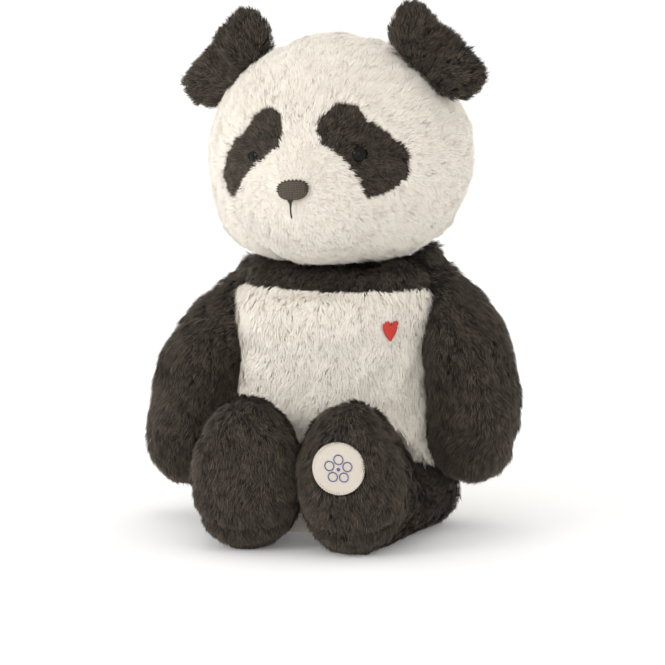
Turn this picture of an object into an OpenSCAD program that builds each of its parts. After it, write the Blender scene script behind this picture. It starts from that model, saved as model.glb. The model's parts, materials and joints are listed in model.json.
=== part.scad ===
// Seated plush panda: sewn fur-cloth covers over loose filling, with limbs, head and ears sewn on.
// Millimetres. +Z is up, the face looks along -Y and the panda's own left side is +X.
// Every cover is drawn at the face of its backing cloth. The pile stands about 4 mm proud of it.

/* [Torso] */
// Width of the torso at its widest, over the backing cloth
torso_w = 164; // [156:1:168]
// Depth of the torso at its deepest, over the backing cloth
torso_d = 142; // [136:1:146]
// Height of the torso from the floor to the neck opening
torso_h = 189; // [188:1:190]
// Height of the seam between the white belly and the dark yoke
yoke_z = 175; // [170:1:180]

/* [Head] */
// Width of the head over the backing cloth
head_w = 187; // [178:1:190]
// Depth of the head without the muzzle
head_d = 156; // [150:1:160]
// Height of the head
head_h = 160; // [154:1:162]
// Height of the middle of the head above the floor
head_z = 273.5; // [273:0.5:280]
// How far the head is turned to the panda's right at rest, in degrees
head_yaw = 9.5; // [0:0.5:15]
// How far the head leans to the panda's right at rest, in degrees
head_lean = 3.5; // [0:0.5:6]
// Distance of the left eye from the middle plane of the face
eye_x = 43.8; // [42:0.1:46]
// How much nearer to the middle plane the right eye was set than the left one
eye_inset = 5.8; // [0:0.1:6]
// Diameter of a safety eye
eye_d = 12; // [10:0.5:13]

/* [Ears] */
// Thickness of an ear, both layers together
ear_t = 9; // [7:0.5:10]

/* [Arms] */
// Radius of the sewn root of an arm
arm_root_r = 21.5; // [20:0.5:22]
// Radius of the paw at the end of an arm
arm_paw_r = 29.5; // [28:0.5:30]

/* [Legs] */
// Radius of the sewn root of a leg
leg_root_r = 24; // [22:0.5:24]
// Width of a foot
foot_w = 78; // [72:1:79]
// Height of a foot
foot_h = 104; // [98:1:106]
// Diameter of the round felt badge on the left sole
badge_d = 36; // [30:1:38]

/* [Cloth] */
// Thickness of a cover panel, its backing cloth and the flattened root of the pile together
cloth_t = 3; // [2.5:0.1:3.2]

/* [Hidden] */

// Colours of the cloths, threads and plastics
dark_fur = "#3c3730";
cream_fur = "#f2e9dc";
filling = "#fbfbf8";
black_plastic = "#0b0b0c";
felt_brown = "#554c42";
felt_cream = "#e1d7cd";
thread_blue = "#4b5596";
thread_red = "#cd372d";
thread_dark = "#28231e";

// Clearances: between a cover and what fills it, and in a sewn ball joint
fill_gap = 0.3;
skin = cloth_t + fill_gap;
seam_gap = 0.3;
seam_t = 1.2;
socket_gap = seam_t + 2*seam_gap;
// Size of a block that is larger than the whole toy
far = 500;

// Sewn ball joints: neck, shoulders and hips. Limbs are drawn for the left side and mirrored.
neck = [0, 0, 190];
neck_r = 36;
// The soft toy slumps to its right, which lifts the left shoulder and lowers the right one
slump = 7;
function side_slump(side) = side == "left" ? slump : -slump;
function shoulder(side) = [62, 0, 165 + side_slump(side)];
hip = [64, -5, leg_root_r + 1.5];

// Cross-sections of the torso: height, half width and half depth as fractions of its size
torso_rings = [
    [0, 0.74, 0.70], [0.015, 0.84, 0.82], [0.05, 0.95, 0.93], [0.13, 1, 0.98],
    [0.22, 0.97, 1], [0.33, 0.905, 1], [0.45, 0.865, 0.96], [0.58, 0.81, 0.9],
    [0.69, 0.795, 0.85], [0.79, 0.82, 0.815], [0.875, 0.84, 0.77], [0.925, 0.84, 0.7],
    [0.96, 0.8, 0.62], [0.985, 0.7, 0.53], [1, 0.54, 0.43]
];

// Half sizes and places on the head, in the head's own frame
head_half = [head_w/2, head_d/2, head_h/2];
muzzle_c = [0, -52, -34];
muzzle_half = [47, 38, 38];
nose_c = [0, -88.2, -22];
nose_half = [11, 5, 6.4];
eye_z = 1;
// Turn of an eye's axis away from straight ahead, and its distance off the cover
eye_turn = 24;
eye_lift = 0.2;
// Outline of the left eye patch, seen from the front: x outwards and z up from the head's middle
patch_outline = [
    [15, 25], [20, 33], [30, 37], [40, 34], [48, 25], [58, 17], [67, 9], [73, -1],
    [73, -14], [67, -24], [57, -30], [47, -28], [45, -16], [38, -5], [28, 7], [17, 15]
];
// How much nearer to the middle plane the right eye patch was sewn than the left one
patch_inset = 4.5;
function eye_in(side) = side == "left" ? eye_x : eye_x - eye_inset;
function patch_in(side) = side == "left" ? 0 : patch_inset;

// Ear: an upright inner lobe and a drooping outer lobe, each with its middle and the tilt of its
// length towards the side; both have the same half sizes
ear_inner = [63, -9, 82];
ear_outer = [97, -5, 48];
ear_inner_tilt = 18;
ear_outer_tilt = 84;
ear_half = [14, ear_t/2, 18.5];
ear_gap = 2.4;

// Arm: the four control points of its middle curve; the raised arm's paw lies closer to the body
arm_lean = 0.6;
function arm_curve(side) = let (s = side_slump(side))
    [shoulder(side), [85, -2, 151 + 0.8*s], [107 + 0.2*s, -8, 118 + 0.6*s],
        [105 - arm_lean*s, -8, 62.5 + 0.95*s]];

// Leg: its middle line runs from the hip to the middle of the foot
foot_y = -112;
foot_x = 41;
sole_depth = 26;
// Front of the sole, which the badge lies on
badge_c = [33, foot_y, 63];

// Everything is moved along Y so that the badge and the back of the head are equally far out
badge_out = 1.57;
head_back = norm([head_half[0]*sin(head_yaw), head_half[1]*cos(head_yaw)]);
mid_y = (badge_out + sole_depth - foot_y - head_back)/2;
// Everything is moved along X so that both paws are equally far out
mid_x = arm_lean*slump;
head_c = [1, 0, head_z];

// ---- Shapes -------------------------------------------------------------------------------

function smooth(s) = s*s*(3 - 2*s);
function mix(a, b, s) = a + (b - a)*s;
function unit(v) = v/norm(v);
function bezier(p, s) =
    pow(1 - s, 3)*p[0] + 3*s*pow(1 - s, 2)*p[1] + 3*s*s*(1 - s)*p[2] + pow(s, 3)*p[3];
function bezier_way(p, s) =
    unit(pow(1 - s, 2)*(p[1] - p[0]) + 2*s*(1 - s)*(p[2] - p[1]) + s*s*(p[3] - p[2]));

// One closed ring of n points about c, with half sizes a and b along the unit vectors u and v
function ring(c, u, v, a, b, n) =
    [for (i = [0:n - 1]) c + a*cos(360*i/n)*u + b*sin(360*i/n)*v];

// Closed solid through a list of rings that all have the same number of points
module loft(rings) {
    n = len(rings[0]);
    last = len(rings) - 1;
    points = [for (r = rings) each r];
    sides = [
        for (k = [0:last - 1], i = [0:n - 1])
        let (p = k*n + i, q = k*n + (i + 1)%n)
        each [[p, p + n, q], [q, p + n, q + n]]
    ];
    bottom = [[for (i = [0:n - 1]) i]];
    top = [[for (i = [n - 1:-1:0]) last*n + i]];
    polyhedron(points = points, faces = concat(bottom, sides, top), convexity = 6);
}

// Ellipsoid with the half sizes h, lofted along Z, of n sides and m rings
module ellipsoid(h, n = 24, m = 11) {
    loft([
        for (i = [0:m - 1])
        let (a = mix(-84, 84, i/(m - 1)))
        ring([0, 0, h[2]*sin(a)], [1, 0, 0], [0, 1, 0], h[0]*cos(a), h[1]*cos(a), n)
    ]);
}

// Full-cheeked egg: an ellipsoid whose level sections stay wide below the middle and close in
// sooner above it, with the half sizes h
egg_low = 3;
egg_high = 1.85;
module egg(h, n = 28, m = 15) {
    loft([
        for (i = [0:m - 1])
        let (t = sin(mix(-80, 84, i/(m - 1))), p = t < 0 ? egg_low : egg_high)
        let (f = pow(1 - pow(abs(t), p), 1/p))
        ring([0, 0, h[2]*t], [1, 0, 0], [0, 1, 0], h[0]*f, h[1]*f, n)
    ]);
}

module ball(r, n = 20, m = 9) {
    ellipsoid([r, r, r], n, m);
}

// Puts children in the toy's frame, which has its origin under the middle of its box
module placed() {
    translate([mid_x, mid_y, 0]) children();
}

// The right side is the mirror image of the left
module sided(side) {
    if (side == "left") children();
    else mirror([1, 0, 0]) children();
}

// Part of a sphere's wall between two radii, cut by slabs along Z: the tape of a sewn ball joint
module seam_band(r, low, high) {
    intersection() {
        difference() {
            sphere(r = r + seam_gap + seam_t, $fn = 64);
            sphere(r = r + seam_gap, $fn = 64);
        }
        translate([-far/2, -far/2, low]) cube([far, far, high - low]);
    }
}

// ---- Torso --------------------------------------------------------------------------------

module torso_form(d) {
    loft([
        for (r = torso_rings)
        let (z = mix(d, torso_h - d, r[0]))
        ring([0, 0, z], [1, 0, 0], [0, 1, 0], r[1]*torso_w/2 - d, r[2]*torso_d/2 - d, 28)
    ]);
}

// Room that a leg needs in the torso while it spreads and lifts: a ball at the hip, and wider
// balls at the thigh, each with its middle and its radius
leg_room_balls = [[[48, -61, 39.5], 38], [[66, -61, 39.5], 37], [[46.5, -28, 27.5], 26.5],
    [[46, -57, 56.5], 40]];
module leg_room() {
    hull() {
        translate(hip) sphere(r = leg_root_r + socket_gap + 0.6, $fn = 24);
        for (b = leg_room_balls) translate(b[0]) sphere(r = b[1], $fn = 24);
    }
}

// Room that an arm needs beside the torso while it swings: a dish about the swing's axis. Its
// wall is given as distances from the axis and places along it, outwards from the shoulder.
arm_room_wall = [[0, -8.5], [arm_root_r + 0.5, -8.5], [31, -2.5], [45, 2.5], [64, 7.5], [104, 8.5],
    [140, 14], [140, far], [0, far]];
module arm_room(side) {
    translate(shoulder(side)) {
        sphere(r = arm_root_r + socket_gap + 0.4, $fn = 48);
        rotate([0, 90, 0]) rotate_extrude($fn = 64) polygon(arm_room_wall);
    }
}

// What the neck, the arms and the legs take out of the torso
module torso_sockets() {
    translate(neck) sphere(r = neck_r + socket_gap, $fn = 48);
    for (side = ["left", "right"]) sided(side) {
        arm_room(side);
        leg_room();
    }
}

module torso_cover() {
    difference() {
        torso_form(0);
        torso_form(cloth_t);
        torso_sockets();
    }
}

base_z = 5;

// Zone of the torso between two heights, in front of the side seams or behind them
module torso_zone(low, high, way) {
    y = way == "front" ? -far : 0;
    translate([-far/2, y, low]) cube([far, far, high - low]);
}

module belly_panel() {
    color(cream_fur) placed() intersection() {
        torso_cover();
        torso_zone(base_z, yoke_z, "front");
    }
}

module back_panel(side) {
    color(cream_fur) placed() intersection() {
        torso_cover();
        torso_zone(base_z, yoke_z, "back");
        sided(side) translate([0, -far/2, 0]) cube(far);
    }
}

module yoke(way) {
    color(dark_fur) placed() intersection() {
        torso_cover();
        torso_zone(yoke_z, torso_h, way);
    }
}

module base_panel() {
    color(cream_fur) placed() intersection() {
        torso_cover();
        translate([-far/2, -far/2, 0]) cube([far, far, base_z]);
    }
}

// Ladder stitches that close the back after filling: a row of short bars across the back seam
stitch_count = 9;
stitch_pitch = 8;
stitch_low = 70;

module closing_stitches() {
    color(cream_fur) placed() intersection() {
        difference() {
            torso_form(-0.8);
            torso_form(-0.05);
        }
        for (i = [0:stitch_count - 1])
            translate([-3, 0, stitch_low + i*stitch_pitch]) cube([6, far, 1.2]);
    }
}

pouch_c = [0, 14, 27];
pouch_half = [34, 36, 17];
pouch_t = 1;

module torso_stuffing() {
    color(filling) placed() difference() {
        torso_form(skin);
        torso_sockets();
        translate(pouch_c) ellipsoid(pouch_half + fill_gap*[1, 1, 1], 20, 9);
    }
}

module bean_pouch() {
    color("#d8d2c6") placed() translate(pouch_c) difference() {
        ellipsoid(pouch_half, 20, 9);
        ellipsoid(pouch_half - pouch_t*[1, 1, 1], 20, 9);
    }
}

module bean_pellets() {
    color("#efeee9") placed() translate(pouch_c)
        ellipsoid(pouch_half - (pouch_t + fill_gap)*[1, 1, 1], 20, 9);
}

// Small embroidered heart on the left of the chest, 11 wide and 13 high
heart_c = [46, 0, 147];
heart_lobe = 3.1;

module heart_outline() {
    hull() {
        translate([-2.5, 3]) circle(r = heart_lobe, $fn = 20);
        translate([0, -6.5]) circle(r = 0.6, $fn = 16);
    }
    hull() {
        translate([2.5, 3]) circle(r = heart_lobe, $fn = 20);
        translate([0, -6.5]) circle(r = 0.6, $fn = 16);
    }
}

module heart() {
    color(thread_red) placed() intersection() {
        difference() {
            torso_form(-1);
            torso_form(0);
        }
        translate(heart_c) rotate([90, 0, 0]) linear_extrude(far) heart_outline();
    }
}

module neck_seam() {
    color(thread_dark) placed() translate(neck) seam_band(neck_r, -12, -5);
}

// ---- Head ---------------------------------------------------------------------------------

// Puts children in the head's own frame, with its turn and its lean
module at_head() {
    translate(head_c) rotate([0, -head_lean, -head_yaw]) children();
}

module head_form(d) {
    at_head() egg(head_half - d*[1, 1, 1]);
    at_head() translate(muzzle_c) ellipsoid(muzzle_half - d*[1, 1, 1], 24, 11);
    translate(neck) ball(neck_r - d, 28, 11);
}

// Puts children at an eye, with +Z along the eye's axis and out of the face
module at_eye(side) {
    x = eye_in(side);
    y = -head_half[1]*sqrt(1 - pow(x/head_half[0], 2) - pow(eye_z/head_half[2], 2));
    at_head() sided(side) translate([x, y, eye_z])
        rotate([90, 0, eye_turn]) translate([0, 0, eye_lift]) children();
}

eye_shank_r = 1.6;
eye_shank_l = 9;
washer_z = -6.2;
washer_t = 1.4;
washer_r = 7;

module head_cover() {
    difference() {
        head_form(0);
        head_form(cloth_t);
        for (side = ["left", "right"]) at_eye(side)
            translate([0, 0, -cloth_t*3]) cylinder(r = eye_shank_r + 0.2, h = cloth_t*4, $fn = 24);
    }
}

// Zones of the head's cover, in the head's own frame
module patch_zone(side) {
    sided(side) translate([-patch_in(side), 0, 0]) rotate([90, 0, 0]) linear_extrude(far)
        polygon(patch_outline);
}

module muzzle_zone() {
    rotate([90, 0, 0]) linear_extrude(far) hull() {
        translate([0, -31]) circle(r = 30, $fn = 32);
        for (x = [-16, 16]) translate([x, -49]) circle(r = 28, $fn = 32);
    }
}

// Half width of the gusset over the top of the head at places from front to back
gusset_low = -22;
gusset_side = [[12, -far], [13, -75], [30, 20], [24, far]];
module gusset_zone() {
    translate([0, 0, gusset_low]) linear_extrude(far) mirrored_outline(gusset_side);
}

// Polygon through a line of points and its mirror image about x = 0
module mirrored_outline(line) {
    last = len(line) - 1;
    polygon(concat(line, [for (i = [last:-1:0]) [-line[i][0], line[i][1]]]));
}

module head_side(side) {
    color(cream_fur) placed() difference() {
        intersection() {
            head_cover();
            at_head() sided(side) translate([0, -far/2, -far/2]) cube(far);
        }
        at_head() {
            patch_zone(side);
            muzzle_zone();
            gusset_zone();
        }
    }
}

module head_gusset() {
    color(cream_fur) placed() difference() {
        intersection() {
            head_cover();
            at_head() gusset_zone();
        }
        at_head() {
            muzzle_zone();
            for (side = ["left", "right"]) patch_zone(side);
        }
    }
}

module muzzle() {
    color(cream_fur) placed() intersection() {
        head_cover();
        at_head() muzzle_zone();
    }
}

module eye_patch(side) {
    color(dark_fur) placed() intersection() {
        head_cover();
        at_head() patch_zone(side);
    }
}

// Domed safety eye with its shank
module eye(side) {
    dome = [for (a = [0:9:81]) [eye_d/2*cos(a), 0.9 + 4.1*sin(a)]];
    color(black_plastic) placed() at_eye(side) rotate_extrude($fn = 40)
        polygon(concat([[0, -eye_shank_l], [eye_shank_r, -eye_shank_l], [eye_shank_r, 0],
            [eye_d/2 - 0.6, 0]], dome, [[0, 5]]));
}

module eye_washer(side) {
    color("#e8e8e4") placed() at_eye(side) translate([0, 0, washer_z]) difference() {
        cylinder(r = washer_r, h = washer_t, $fn = 40);
        translate([0, 0, -1]) cylinder(r = eye_shank_r, h = washer_t + 2, $fn = 40);
    }
}

module nose() {
    color(felt_brown) placed() difference() {
        at_head() translate(nose_c) ellipsoid(nose_half, 20, 9);
        head_form(0);
    }
}

// Thread bound round the edge of the nose
module nose_stitching() {
    color(thread_dark) placed() difference() {
        at_head() translate(nose_c) difference() {
            ellipsoid([nose_half[0] + 1.6, nose_half[1] - 0.6, nose_half[2] + 1.6], 20, 9);
            ellipsoid(nose_half + 0.2*[1, 1, 1], 20, 9);
        }
        head_form(0);
    }
}

mouth_top = -31;
mouth_bottom = -42;

module mouth_stitching() {
    color(thread_dark) placed() intersection() {
        difference() {
            at_head() translate(muzzle_c) ellipsoid(muzzle_half + [1, 1, 1], 24, 11);
            head_form(0);
        }
        at_head() translate([-0.8, -far, mouth_bottom]) cube([1.6, far, mouth_top - mouth_bottom]);
    }
}

module head_stuffing() {
    color(filling) placed() difference() {
        head_form(skin);
        for (side = ["left", "right"]) at_eye(side) translate([0, 0, washer_z - 4])
            cylinder(r = washer_r + 0.5, h = far, $fn = 32);
    }
}

// ---- Ears ---------------------------------------------------------------------------------

module ear_form() {
    hull() {
        translate(ear_inner) rotate([0, ear_inner_tilt, 0]) ellipsoid(ear_half, 20, 9);
        translate(ear_outer) rotate([0, ear_outer_tilt, 0]) ellipsoid(ear_half, 20, 9);
    }
}

// One layer of an ear: its front half or its back half, clear of the head all round its root
module ear(side, layer) {
    way = layer == "front" ? -far : 0;
    color(dark_fur) placed() difference() {
        at_head() sided(side) intersection() {
            ear_form();
            translate([ear_inner[0], ear_inner[1], 0])
                rotate([0, 0, atan2(ear_outer[1] - ear_inner[1], ear_outer[0] - ear_inner[0])])
                    translate([-far/2, way, -far/2]) cube(far);
        }
        head_form(-ear_gap);
    }
}

// ---- Arms ---------------------------------------------------------------------------------

arm_steps = 7;
arm_sides = 18;

// Rings of an arm whose cloth is d inside its outer face: a ball at the root, the curved and
// swelling middle, and a round paw
function arm_r(s) = mix(arm_root_r, arm_paw_r, smooth(min(1, 1.5*s)));
function arm_ring(curve, s, shift, scale, d) =
    let (way = bezier_way(curve, s), out = unit(cross(way, [0, 1, 0])))
    let (r = arm_r(s) - d, up = cross(way, out))
    ring(bezier(curve, s) + way*r*shift, out, up, r*scale, r*scale, arm_sides);
function arm_rings(curve, d) = concat(
    [for (a = [-84:21:-21]) arm_ring(curve, 0, sin(a), cos(a), d)],
    [for (i = [0:arm_steps]) arm_ring(curve, i/arm_steps, 0, 1, d)],
    [for (a = [21:21:84]) arm_ring(curve, 1, sin(a), cos(a), d)]
);

// Zone on the outer side of the arm's middle curve
module arm_outer_zone(curve) {
    middle = [for (i = [0:arm_steps]) let (p = bezier(curve, i/arm_steps)) [p[0], p[2]]];
    root = middle[0];
    tip = middle[arm_steps];
    rotate([90, 0, 0]) linear_extrude(far, center = true)
        polygon(concat([root + [-40, 32]], middle, [[tip[0], -far], [far, -far], [far, far]]));
}

module arm_cover(side, half) {
    curve = arm_curve(side);
    color(dark_fur) placed() sided(side) difference() {
        loft(arm_rings(curve, 0));
        loft(arm_rings(curve, cloth_t));
        if (half == "inner") arm_outer_zone(curve);
        else difference() {
            cube(2*far, center = true);
            arm_outer_zone(curve);
        }
    }
}

module arm_stuffing(side) {
    color(filling) placed() sided(side) loft(arm_rings(arm_curve(side), skin));
}

module shoulder_seam(side) {
    color(thread_dark) placed() sided(side) translate(shoulder(side)) rotate([0, 90, 0])
        seam_band(arm_root_r, -18, -13.5);
}

// ---- Legs ---------------------------------------------------------------------------------

leg_steps = 7;
leg_sides = 20;

// Rings of a leg: a ball at the root, a thigh that swells and rises off the floor line, and a
// foot with a flattened sole
function leg_ring(s, shift, scale, d) =
    let (a = mix(leg_root_r, foot_w/2, pow(smooth(s), 2)))
    let (b = mix(leg_root_r, foot_h/2, pow(smooth(s), 5)))
    let (c = [mix(hip[0], foot_x, s*(1.5 - 0.5*s)), mix(hip[1], foot_y, s), b + hip[2] - leg_root_r])
    ring(c + [0, -shift, 0], [1, 0, 0], [0, 0, 1], (a - d)*scale, (b - d)*scale, leg_sides);
function leg_rings(d) = concat(
    [for (a = [-84:21:-21]) leg_ring(0, (leg_root_r - d)*sin(a), cos(a), d)],
    [for (i = [0:leg_steps]) leg_ring(i/leg_steps, 0, 1, d)],
    [for (a = [16:16:80]) leg_ring(1, (sole_depth - d)*sin(a), pow(cos(a), 0.6), d)]
);

module leg_form(d) {
    loft(leg_rings(d));
}

module sole_zone() {
    translate([0, foot_y - 8, foot_h/2]) rotate([-8, 0, 0])
        translate([-far/2, -far, -far/2]) cube(far);
}

// Zone on the outer side of the leg's middle line
module leg_outer_zone() {
    way = [foot_x - hip[0], foot_y - hip[1]];
    a = [hip[0], hip[1]] - way;
    b = [hip[0], hip[1]] + 2*way;
    translate([0, 0, -far/2]) linear_extrude(far) polygon([a, b, b + [far, 0], a + [far, 0]]);
}

module leg_cover(side, half) {
    color(dark_fur) placed() sided(side) difference() {
        leg_form(0);
        leg_form(cloth_t);
        sole_zone();
        if (half == "inner") leg_outer_zone();
        else difference() {
            cube(2*far, center = true);
            leg_outer_zone();
        }
    }
}

module leg_sole(side) {
    color(dark_fur) placed() sided(side) intersection() {
        difference() {
            leg_form(0);
            leg_form(cloth_t);
        }
        sole_zone();
    }
}

module leg_stuffing(side) {
    color(filling) placed() sided(side) leg_form(skin);
}

module hip_seam(side) {
    color(thread_dark) placed() sided(side) translate(hip) rotate([90, 0, 0])
        seam_band(leg_root_r, -12, -6);
}

// ---- Badge on the left sole ---------------------------------------------------------------

felt_t = 1.4;
thread_t = 0.6;
badge_rim = 2.2;

// Layer of the given thickness that lies on the sole, a given height above it
module on_sole(low, thickness) {
    intersection() {
        difference() {
            leg_form(-low - thickness);
            leg_form(-low);
        }
        translate(badge_c) rotate([90, 0, 0]) linear_extrude(far) children();
    }
}

module badge_felt() {
    color(felt_cream) placed() on_sole(0, felt_t) circle(d = badge_d, $fn = 40);
}

module badge_edge_stitching() {
    color(cream_fur) placed() on_sole(felt_t, thread_t) difference() {
        circle(d = badge_d, $fn = 40);
        circle(d = badge_d - 2*badge_rim, $fn = 40);
    }
}

// A plain five-petalled flower in outline: rings round a small middle dot
petal_count = 5;
petal_r = 3.6;
petal_line = 0.9;

module badge_motif() {
    color(thread_blue) placed() on_sole(felt_t, thread_t) {
        circle(r = 1.6, $fn = 24);
        for (i = [0:petal_count - 1]) rotate(90 + i*360/petal_count) translate([6.6, 0])
            difference() {
                circle(r = petal_r, $fn = 24);
                circle(r = petal_r - petal_line, $fn = 24);
            }
    }
}

head_side("left");  // head_side_left
head_side("right");  // head_side_right
head_gusset();
muzzle();
eye_patch("left");  // eye_patch_left
eye_patch("right");  // eye_patch_right
eye("left");  // eye_left
eye("right");  // eye_right
eye_washer("left");  // eye_washer_left
eye_washer("right");  // eye_washer_right
nose();
nose_stitching();
mouth_stitching();
head_stuffing();
ear("left", "front");  // ear_left_front
ear("left", "back");  // ear_left_back
ear("right", "front");  // ear_right_front
ear("right", "back");  // ear_right_back
neck_seam();
belly_panel();
yoke("front");  // yoke_front
yoke("back");  // yoke_back
back_panel("left");  // back_left
back_panel("right");  // back_right
base_panel();
closing_stitches();
torso_stuffing();
bean_pouch();
bean_pellets();
heart();
shoulder_seam("left");  // shoulder_seam_left
shoulder_seam("right");  // shoulder_seam_right
arm_cover("left", "outer");  // arm_left_outer
arm_cover("left", "inner");  // arm_left_inner
arm_stuffing("left");  // arm_left_stuffing
arm_cover("right", "outer");  // arm_right_outer
arm_cover("right", "inner");  // arm_right_inner
arm_stuffing("right");  // arm_right_stuffing
hip_seam("left");  // hip_seam_left
hip_seam("right");  // hip_seam_right
leg_cover("left", "outer");  // leg_left_outer
leg_cover("left", "inner");  // leg_left_inner
leg_sole("left");  // leg_left_sole
leg_stuffing("left");  // leg_left_stuffing
leg_cover("right", "outer");  // leg_right_outer
leg_cover("right", "inner");  // leg_right_inner
leg_sole("right");  // leg_right_sole
leg_stuffing("right");  // leg_right_stuffing
badge_felt();
badge_edge_stitching();
badge_motif();
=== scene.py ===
"""Looks of a seated plush panda: stuffed skins, standing pile, felt, thread and domed eyes.

Every stuffed part is a closed skin, a grid of rings between two poles, and the pile is made of
tapered strands that grow out of the skin in clumps. Sizes are in millimetres in the functions
that shape things, with the origin on the floor under the torso's axis, and become metres in the
row's frame when a mesh is made.
"""

import json
import math

import bpy
import numpy as np
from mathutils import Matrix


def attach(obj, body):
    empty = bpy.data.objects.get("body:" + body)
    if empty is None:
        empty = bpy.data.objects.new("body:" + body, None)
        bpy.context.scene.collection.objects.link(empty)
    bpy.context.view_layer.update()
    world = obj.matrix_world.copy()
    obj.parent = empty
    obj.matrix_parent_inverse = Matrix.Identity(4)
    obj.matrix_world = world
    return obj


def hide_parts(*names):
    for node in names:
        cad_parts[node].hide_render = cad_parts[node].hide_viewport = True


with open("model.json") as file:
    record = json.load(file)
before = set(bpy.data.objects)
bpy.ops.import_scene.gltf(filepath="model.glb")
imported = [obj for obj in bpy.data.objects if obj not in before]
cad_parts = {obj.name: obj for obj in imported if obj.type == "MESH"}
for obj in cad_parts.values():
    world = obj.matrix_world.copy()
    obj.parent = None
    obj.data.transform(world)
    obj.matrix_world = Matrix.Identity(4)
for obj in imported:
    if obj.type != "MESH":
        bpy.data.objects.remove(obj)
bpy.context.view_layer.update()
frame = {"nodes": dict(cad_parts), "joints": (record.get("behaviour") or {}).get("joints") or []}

bl_info = {
    "name": "Plush panda",
    "version": (1, 0, 0),
    "blender": (4, 5, 0),
    "location": "View3D > Sidebar > Panda",
    "description": "Stuffed skins, pile, felt, thread and eyes of a seated plush panda",
    "category": "Object",
}

JOINTS = {joint["name"]: joint for joint in frame["joints"]}
MM = 0.001
PLACE = np.array(JOINTS["head_turn"]["pos_m"]) / MM * [1, 1, 0]
SIDES = {"left": 1.0, "right": -1.0}


# ---- Small maths --------------------------------------------------------------------------


def joint_place(name):
    """Where a joint turns, in mm from the torso's axis."""
    return np.array(JOINTS[name]["pos_m"]) / MM - PLACE


def unit(v):
    """v scaled to length 1."""
    return v / np.maximum(np.linalg.norm(v, axis=-1, keepdims=True), 1e-9)


def ease(s):
    """0 below 0, 1 above 1, and a smooth step between."""
    s = np.clip(s, 0, 1)
    return s * s * (3 - 2 * s)


def mix(a, b, s):
    """a where s is 0 and b where s is 1."""
    return a + (b - a) * s


def hump(x, width):
    """Bell curve of x, 1 at 0."""
    return np.exp(-((x / width) ** 2))


def along(v, n):
    """v without its part along the unit normals n, scaled to length 1."""
    return unit(v - (v * n).sum(-1, keepdims=True) * n)


def ripple(p, size, seed):
    """Smooth field from about -1 to 1: ten sine waves of about the given length in mm, in fixed
    random directions, added up."""
    rng = np.random.default_rng(seed)
    ways = unit(rng.normal(size=(10, 3))) * (2 * math.pi / size)
    ways *= rng.uniform(0.6, 1.5, (10, 1))
    return np.sin(p @ ways.T + rng.uniform(0, 2 * math.pi, 10)).sum(-1) / 3.2


def turn_z(degrees):
    """Turn about Z as a matrix."""
    c, s = math.cos(math.radians(degrees)), math.sin(math.radians(degrees))
    return np.array([[c, -s, 0], [s, c, 0], [0, 0, 1]])


def turn_y(degrees):
    """Turn about Y as a matrix."""
    c, s = math.cos(math.radians(degrees)), math.sin(math.radians(degrees))
    return np.array([[c, 0, s], [0, 1, 0], [-s, 0, c]])


def inside(outline, x, z):
    """Whether each point x, z is inside the closed outline."""
    found = np.zeros(x.shape, bool)
    for (ax, az), (bx, bz) in zip(outline, np.roll(outline, -1, 0)):
        if az != bz:
            found ^= ((az > z) != (bz > z)) & (x < (bx - ax) * (z - az) / (bz - az) + ax)
    return found


def gap_to_line(line, x, z):
    """Distance of each point x, z from a line of points."""
    gap = np.full(x.shape, 1e9)
    for a, b in zip(line[:-1], line[1:]):
        a, d = np.array(a, float), np.array(b, float) - np.array(a, float)
        t = np.clip(((x - a[0]) * d[0] + (z - a[1]) * d[1]) / (d @ d), 0, 1)
        gap = np.minimum(gap, np.hypot(x - a[0] - t * d[0], z - a[1] - t * d[1]))
    return gap


def rounded(outline, steps=6):
    """Closed outline drawn through its points with a smooth curve."""
    p = np.array(outline, float)
    before, after, later = np.roll(p, 1, 0), np.roll(p, -1, 0), np.roll(p, -2, 0)
    t = (np.arange(steps) / steps)[None, :, None]
    a, b, c, d = (q[:, None, :] for q in (before, p, after, later))
    curve = 0.5 * (2 * b + (c - a) * t + (2 * a - 5 * b + 4 * c - d) * t**2
                   + (3 * b - a - 3 * c + d) * t**3)
    return curve.reshape(-1, 2)


# ---- Meshes -------------------------------------------------------------------------------


def build_mesh(name, co, faces, material, uv=None, values=None, normals=None):
    """Object from points in mm and lists of faces that each have the same number of corners.
    uv and values are given per point, and so are the shading normals."""
    mesh = bpy.data.meshes.new(name)
    corners = np.concatenate([f.reshape(-1) for f in faces]).astype(np.int32)
    counts = np.concatenate([np.full(len(f), f.shape[1]) for f in faces])
    starts = np.concatenate([[0], np.cumsum(counts)[:-1]]).astype(np.int32)
    mesh.vertices.add(len(co))
    mesh.vertices.foreach_set("co", ((co + PLACE) * MM).astype(np.float32).ravel())
    mesh.loops.add(len(corners))
    mesh.loops.foreach_set("vertex_index", corners)
    mesh.polygons.add(len(starts))
    mesh.polygons.foreach_set("loop_start", starts)
    mesh.update(calc_edges=True)
    mesh.polygons.foreach_set("use_smooth", np.ones(len(starts), bool))
    if uv is not None:
        mesh.uv_layers.new(name="UVMap").data.foreach_set(
            "uv", uv[corners].astype(np.float32).ravel())
    for key, value in (values or {}).items():
        mesh.attributes.new(key, "FLOAT", "POINT").data.foreach_set(
            "value", value.astype(np.float32))
    if normals is not None:
        mesh.normals_split_custom_set_from_vertices(normals.astype(np.float32))
    mesh.materials.append(material)
    piece = bpy.data.objects.new(name, mesh)
    bpy.context.scene.collection.objects.link(piece)
    return piece


def finish_piece(piece, body, slot, *nodes):
    """The piece rides a body and stands for the named nodes. The slot is not used."""
    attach(piece, body)
    if nodes:
        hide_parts(*nodes)
    return piece


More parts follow.
